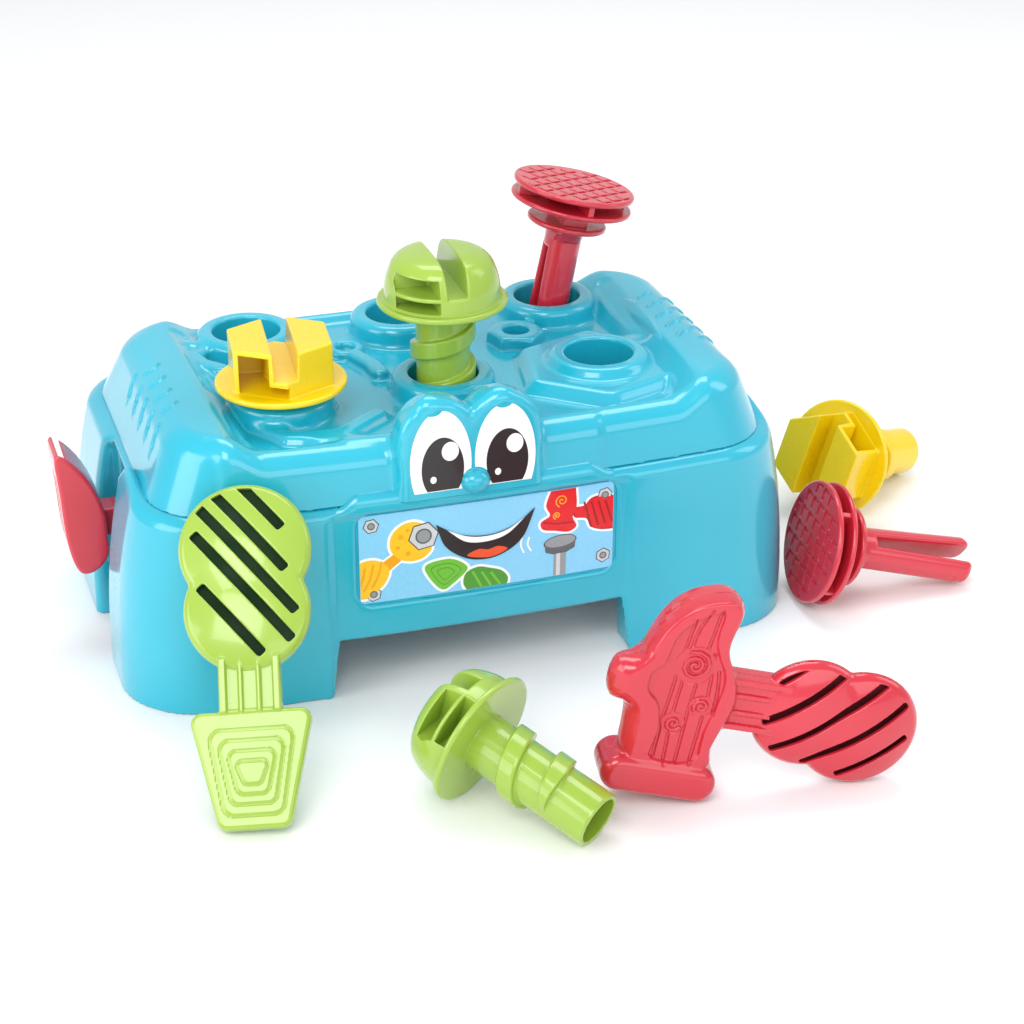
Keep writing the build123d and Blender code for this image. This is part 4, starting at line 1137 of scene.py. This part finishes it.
def trims():
    """Materials of the CAD nodes that stay as they are."""
    steel = bpy.data.materials.new("zinc_steel")
    steel.use_nodes = True
    nt = steel.node_tree
    b = nt.nodes["Principled BSDF"]
    tc = nt.nodes.new("ShaderNodeTexCoord")
    n = nt.nodes.new("ShaderNodeTexNoise")
    n.inputs["Scale"].default_value = 500.0
    r = nt.nodes.new("ShaderNodeValToRGB")
    r.color_ramp.elements[0].color, r.color_ramp.elements[1].color = (0.46, 0.47, 0.49, 1), (0.66, 0.67, 0.69, 1)
    nt.links.new(tc.outputs["Object"], n.inputs["Vector"])
    nt.links.new(n.outputs["Fac"], r.inputs["Fac"])
    nt.links.new(r.outputs["Color"], b.inputs["Base Color"])
    b.inputs["Metallic"].default_value = 1.0
    b.inputs["Roughness"].default_value = 0.32
    keep = {"panel_label": INK["sky"], "eye_label_left": INK["white"], "eye_label_right": INK["white"], "window_panel": BLUE,
            "casing_screws": steel, "vice_stop_screw": steel, "hammer_screws": steel, "screwdriver_screws": steel, "vice_stop": RED}
    for n_, m_ in keep.items():
        o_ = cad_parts[n_]
        o_.data.materials.clear()
        o_.data.materials.append(m_)


# ------------------------------------------------------------------ floor, light, camera
def floor():
    me = bpy.data.meshes.new("studio_floor")
    # a broad sweep: flat under the set, rising far behind it
    prof = [(-2.2, 0.0), (1.6, 0.0)]
    for a in np.linspace(0, math.pi / 2, 14)[1:]:
        prof.append((1.6 + 1.2 * math.sin(a), 1.2 - 1.2 * math.cos(a)))
    prof.append((2.8, 3.2))
    v, q = [], []
    for x in np.linspace(-3.4, 3.4, 9):
        for y, z in prof:
            v.append((x, y, z - 0.0002))
    m = len(prof)
    for i in range(8):
        for j in range(m - 1):
            q.append((i * m + j, (i + 1) * m + j, (i + 1) * m + j + 1, i * m + j + 1))
    me.from_pydata(v, [], q)
    for p in me.polygons:
        p.use_smooth = True
    ob = bpy.data.objects.new("studio_floor", me)
    bpy.context.scene.collection.objects.link(ob)
    m = bpy.data.materials.new("studio_paper")
    m.use_nodes = True
    b = m.node_tree.nodes["Principled BSDF"]
    n = m.node_tree.nodes.new("ShaderNodeTexNoise")
    n.inputs["Scale"].default_value = 3.0
    r = m.node_tree.nodes.new("ShaderNodeValToRGB")
    r.color_ramp.elements[0].color = (0.93, 0.93, 0.93, 1)
    r.color_ramp.elements[1].color = (0.95, 0.95, 0.95, 1)
    m.node_tree.links.new(n.outputs["Fac"], r.inputs["Fac"])
    m.node_tree.links.new(r.outputs["Color"], b.inputs["Base Color"])
    b.inputs["Roughness"].default_value = 0.9
    b.inputs["Specular IOR Level"].default_value = 0.1
    me.materials.append(m)


def area(name, loc, target, size, size_y, watts, colour=(1, 1, 1)):
    d = bpy.data.lights.new(name, "AREA")
    d.shape = "RECTANGLE"
    d.size, d.size_y, d.energy, d.color = size, size_y, watts, colour
    o = bpy.data.objects.new(name, d)
    bpy.context.scene.collection.objects.link(o)
    o.location = loc
    o.rotation_euler = (Vector(target) - Vector(loc)).to_track_quat("-Z", "Y").to_euler()
    return o


def studio():
    floor()
    w = bpy.data.worlds.new("studio")
    w.use_nodes = True
    bg = w.node_tree.nodes["Background"]
    bg.inputs["Color"].default_value = (0.95, 0.97, 1.0, 1)
    bg.inputs["Strength"].default_value = 0.66
    bpy.context.scene.world = w
    area("key", (-0.75, -1.0, 1.25), (-0.05, 0, 0.05), 0.8, 0.8, 11)
    area("top", (0.15, 0.45, 1.5), (0, 0, 0), 1.3, 0.6, 10)
    area("front", (0.35, -1.7, 0.75), (0, 0, 0.08), 1.6, 0.9, 8)
    area("side", (1.3, -0.2, 0.9), (0, 0, 0.05), 0.5, 0.9, 3)
    area("left", (-1.5, -0.35, 0.55), (0, 0, 0.06), 0.9, 0.9, 8)
    s = bpy.context.scene
    s.view_settings.view_transform = "Standard"
    s.view_settings.look = "None"
    psi, th, roll = math.radians(17.926), math.radians(-26.919), 0.002
    fwd = Vector((math.sin(psi) * math.cos(th), math.cos(psi) * math.cos(th), math.sin(th)))
    right = Vector((math.cos(psi), -math.sin(psi), 0))
    up = right.cross(fwd)
    r2 = right * math.cos(roll) + up * math.sin(roll)
    u2 = up * math.cos(roll) - right * math.sin(roll)
    cam = bpy.data.cameras.new("camera")
    cam.lens, cam.sensor_width = 36 * 2352.316 / 1024, 36
    cam.clip_start, cam.clip_end = 0.05, 30
    o = bpy.data.objects.new("camera", cam)
    s.collection.objects.link(o)
    loc = Vector(((-290.59 + BX) / 1000, (-1047.33 + BY) / 1000, 0.58785))
    m = Matrix((r2, u2, -fwd)).transposed().to_4x4()
    m.translation = loc
    o.matrix_world = m
    s.camera = o


studio()
shell_pieces()
pegs()
hammer_pieces()
driver_pieces()
vice()
labels()
trims()
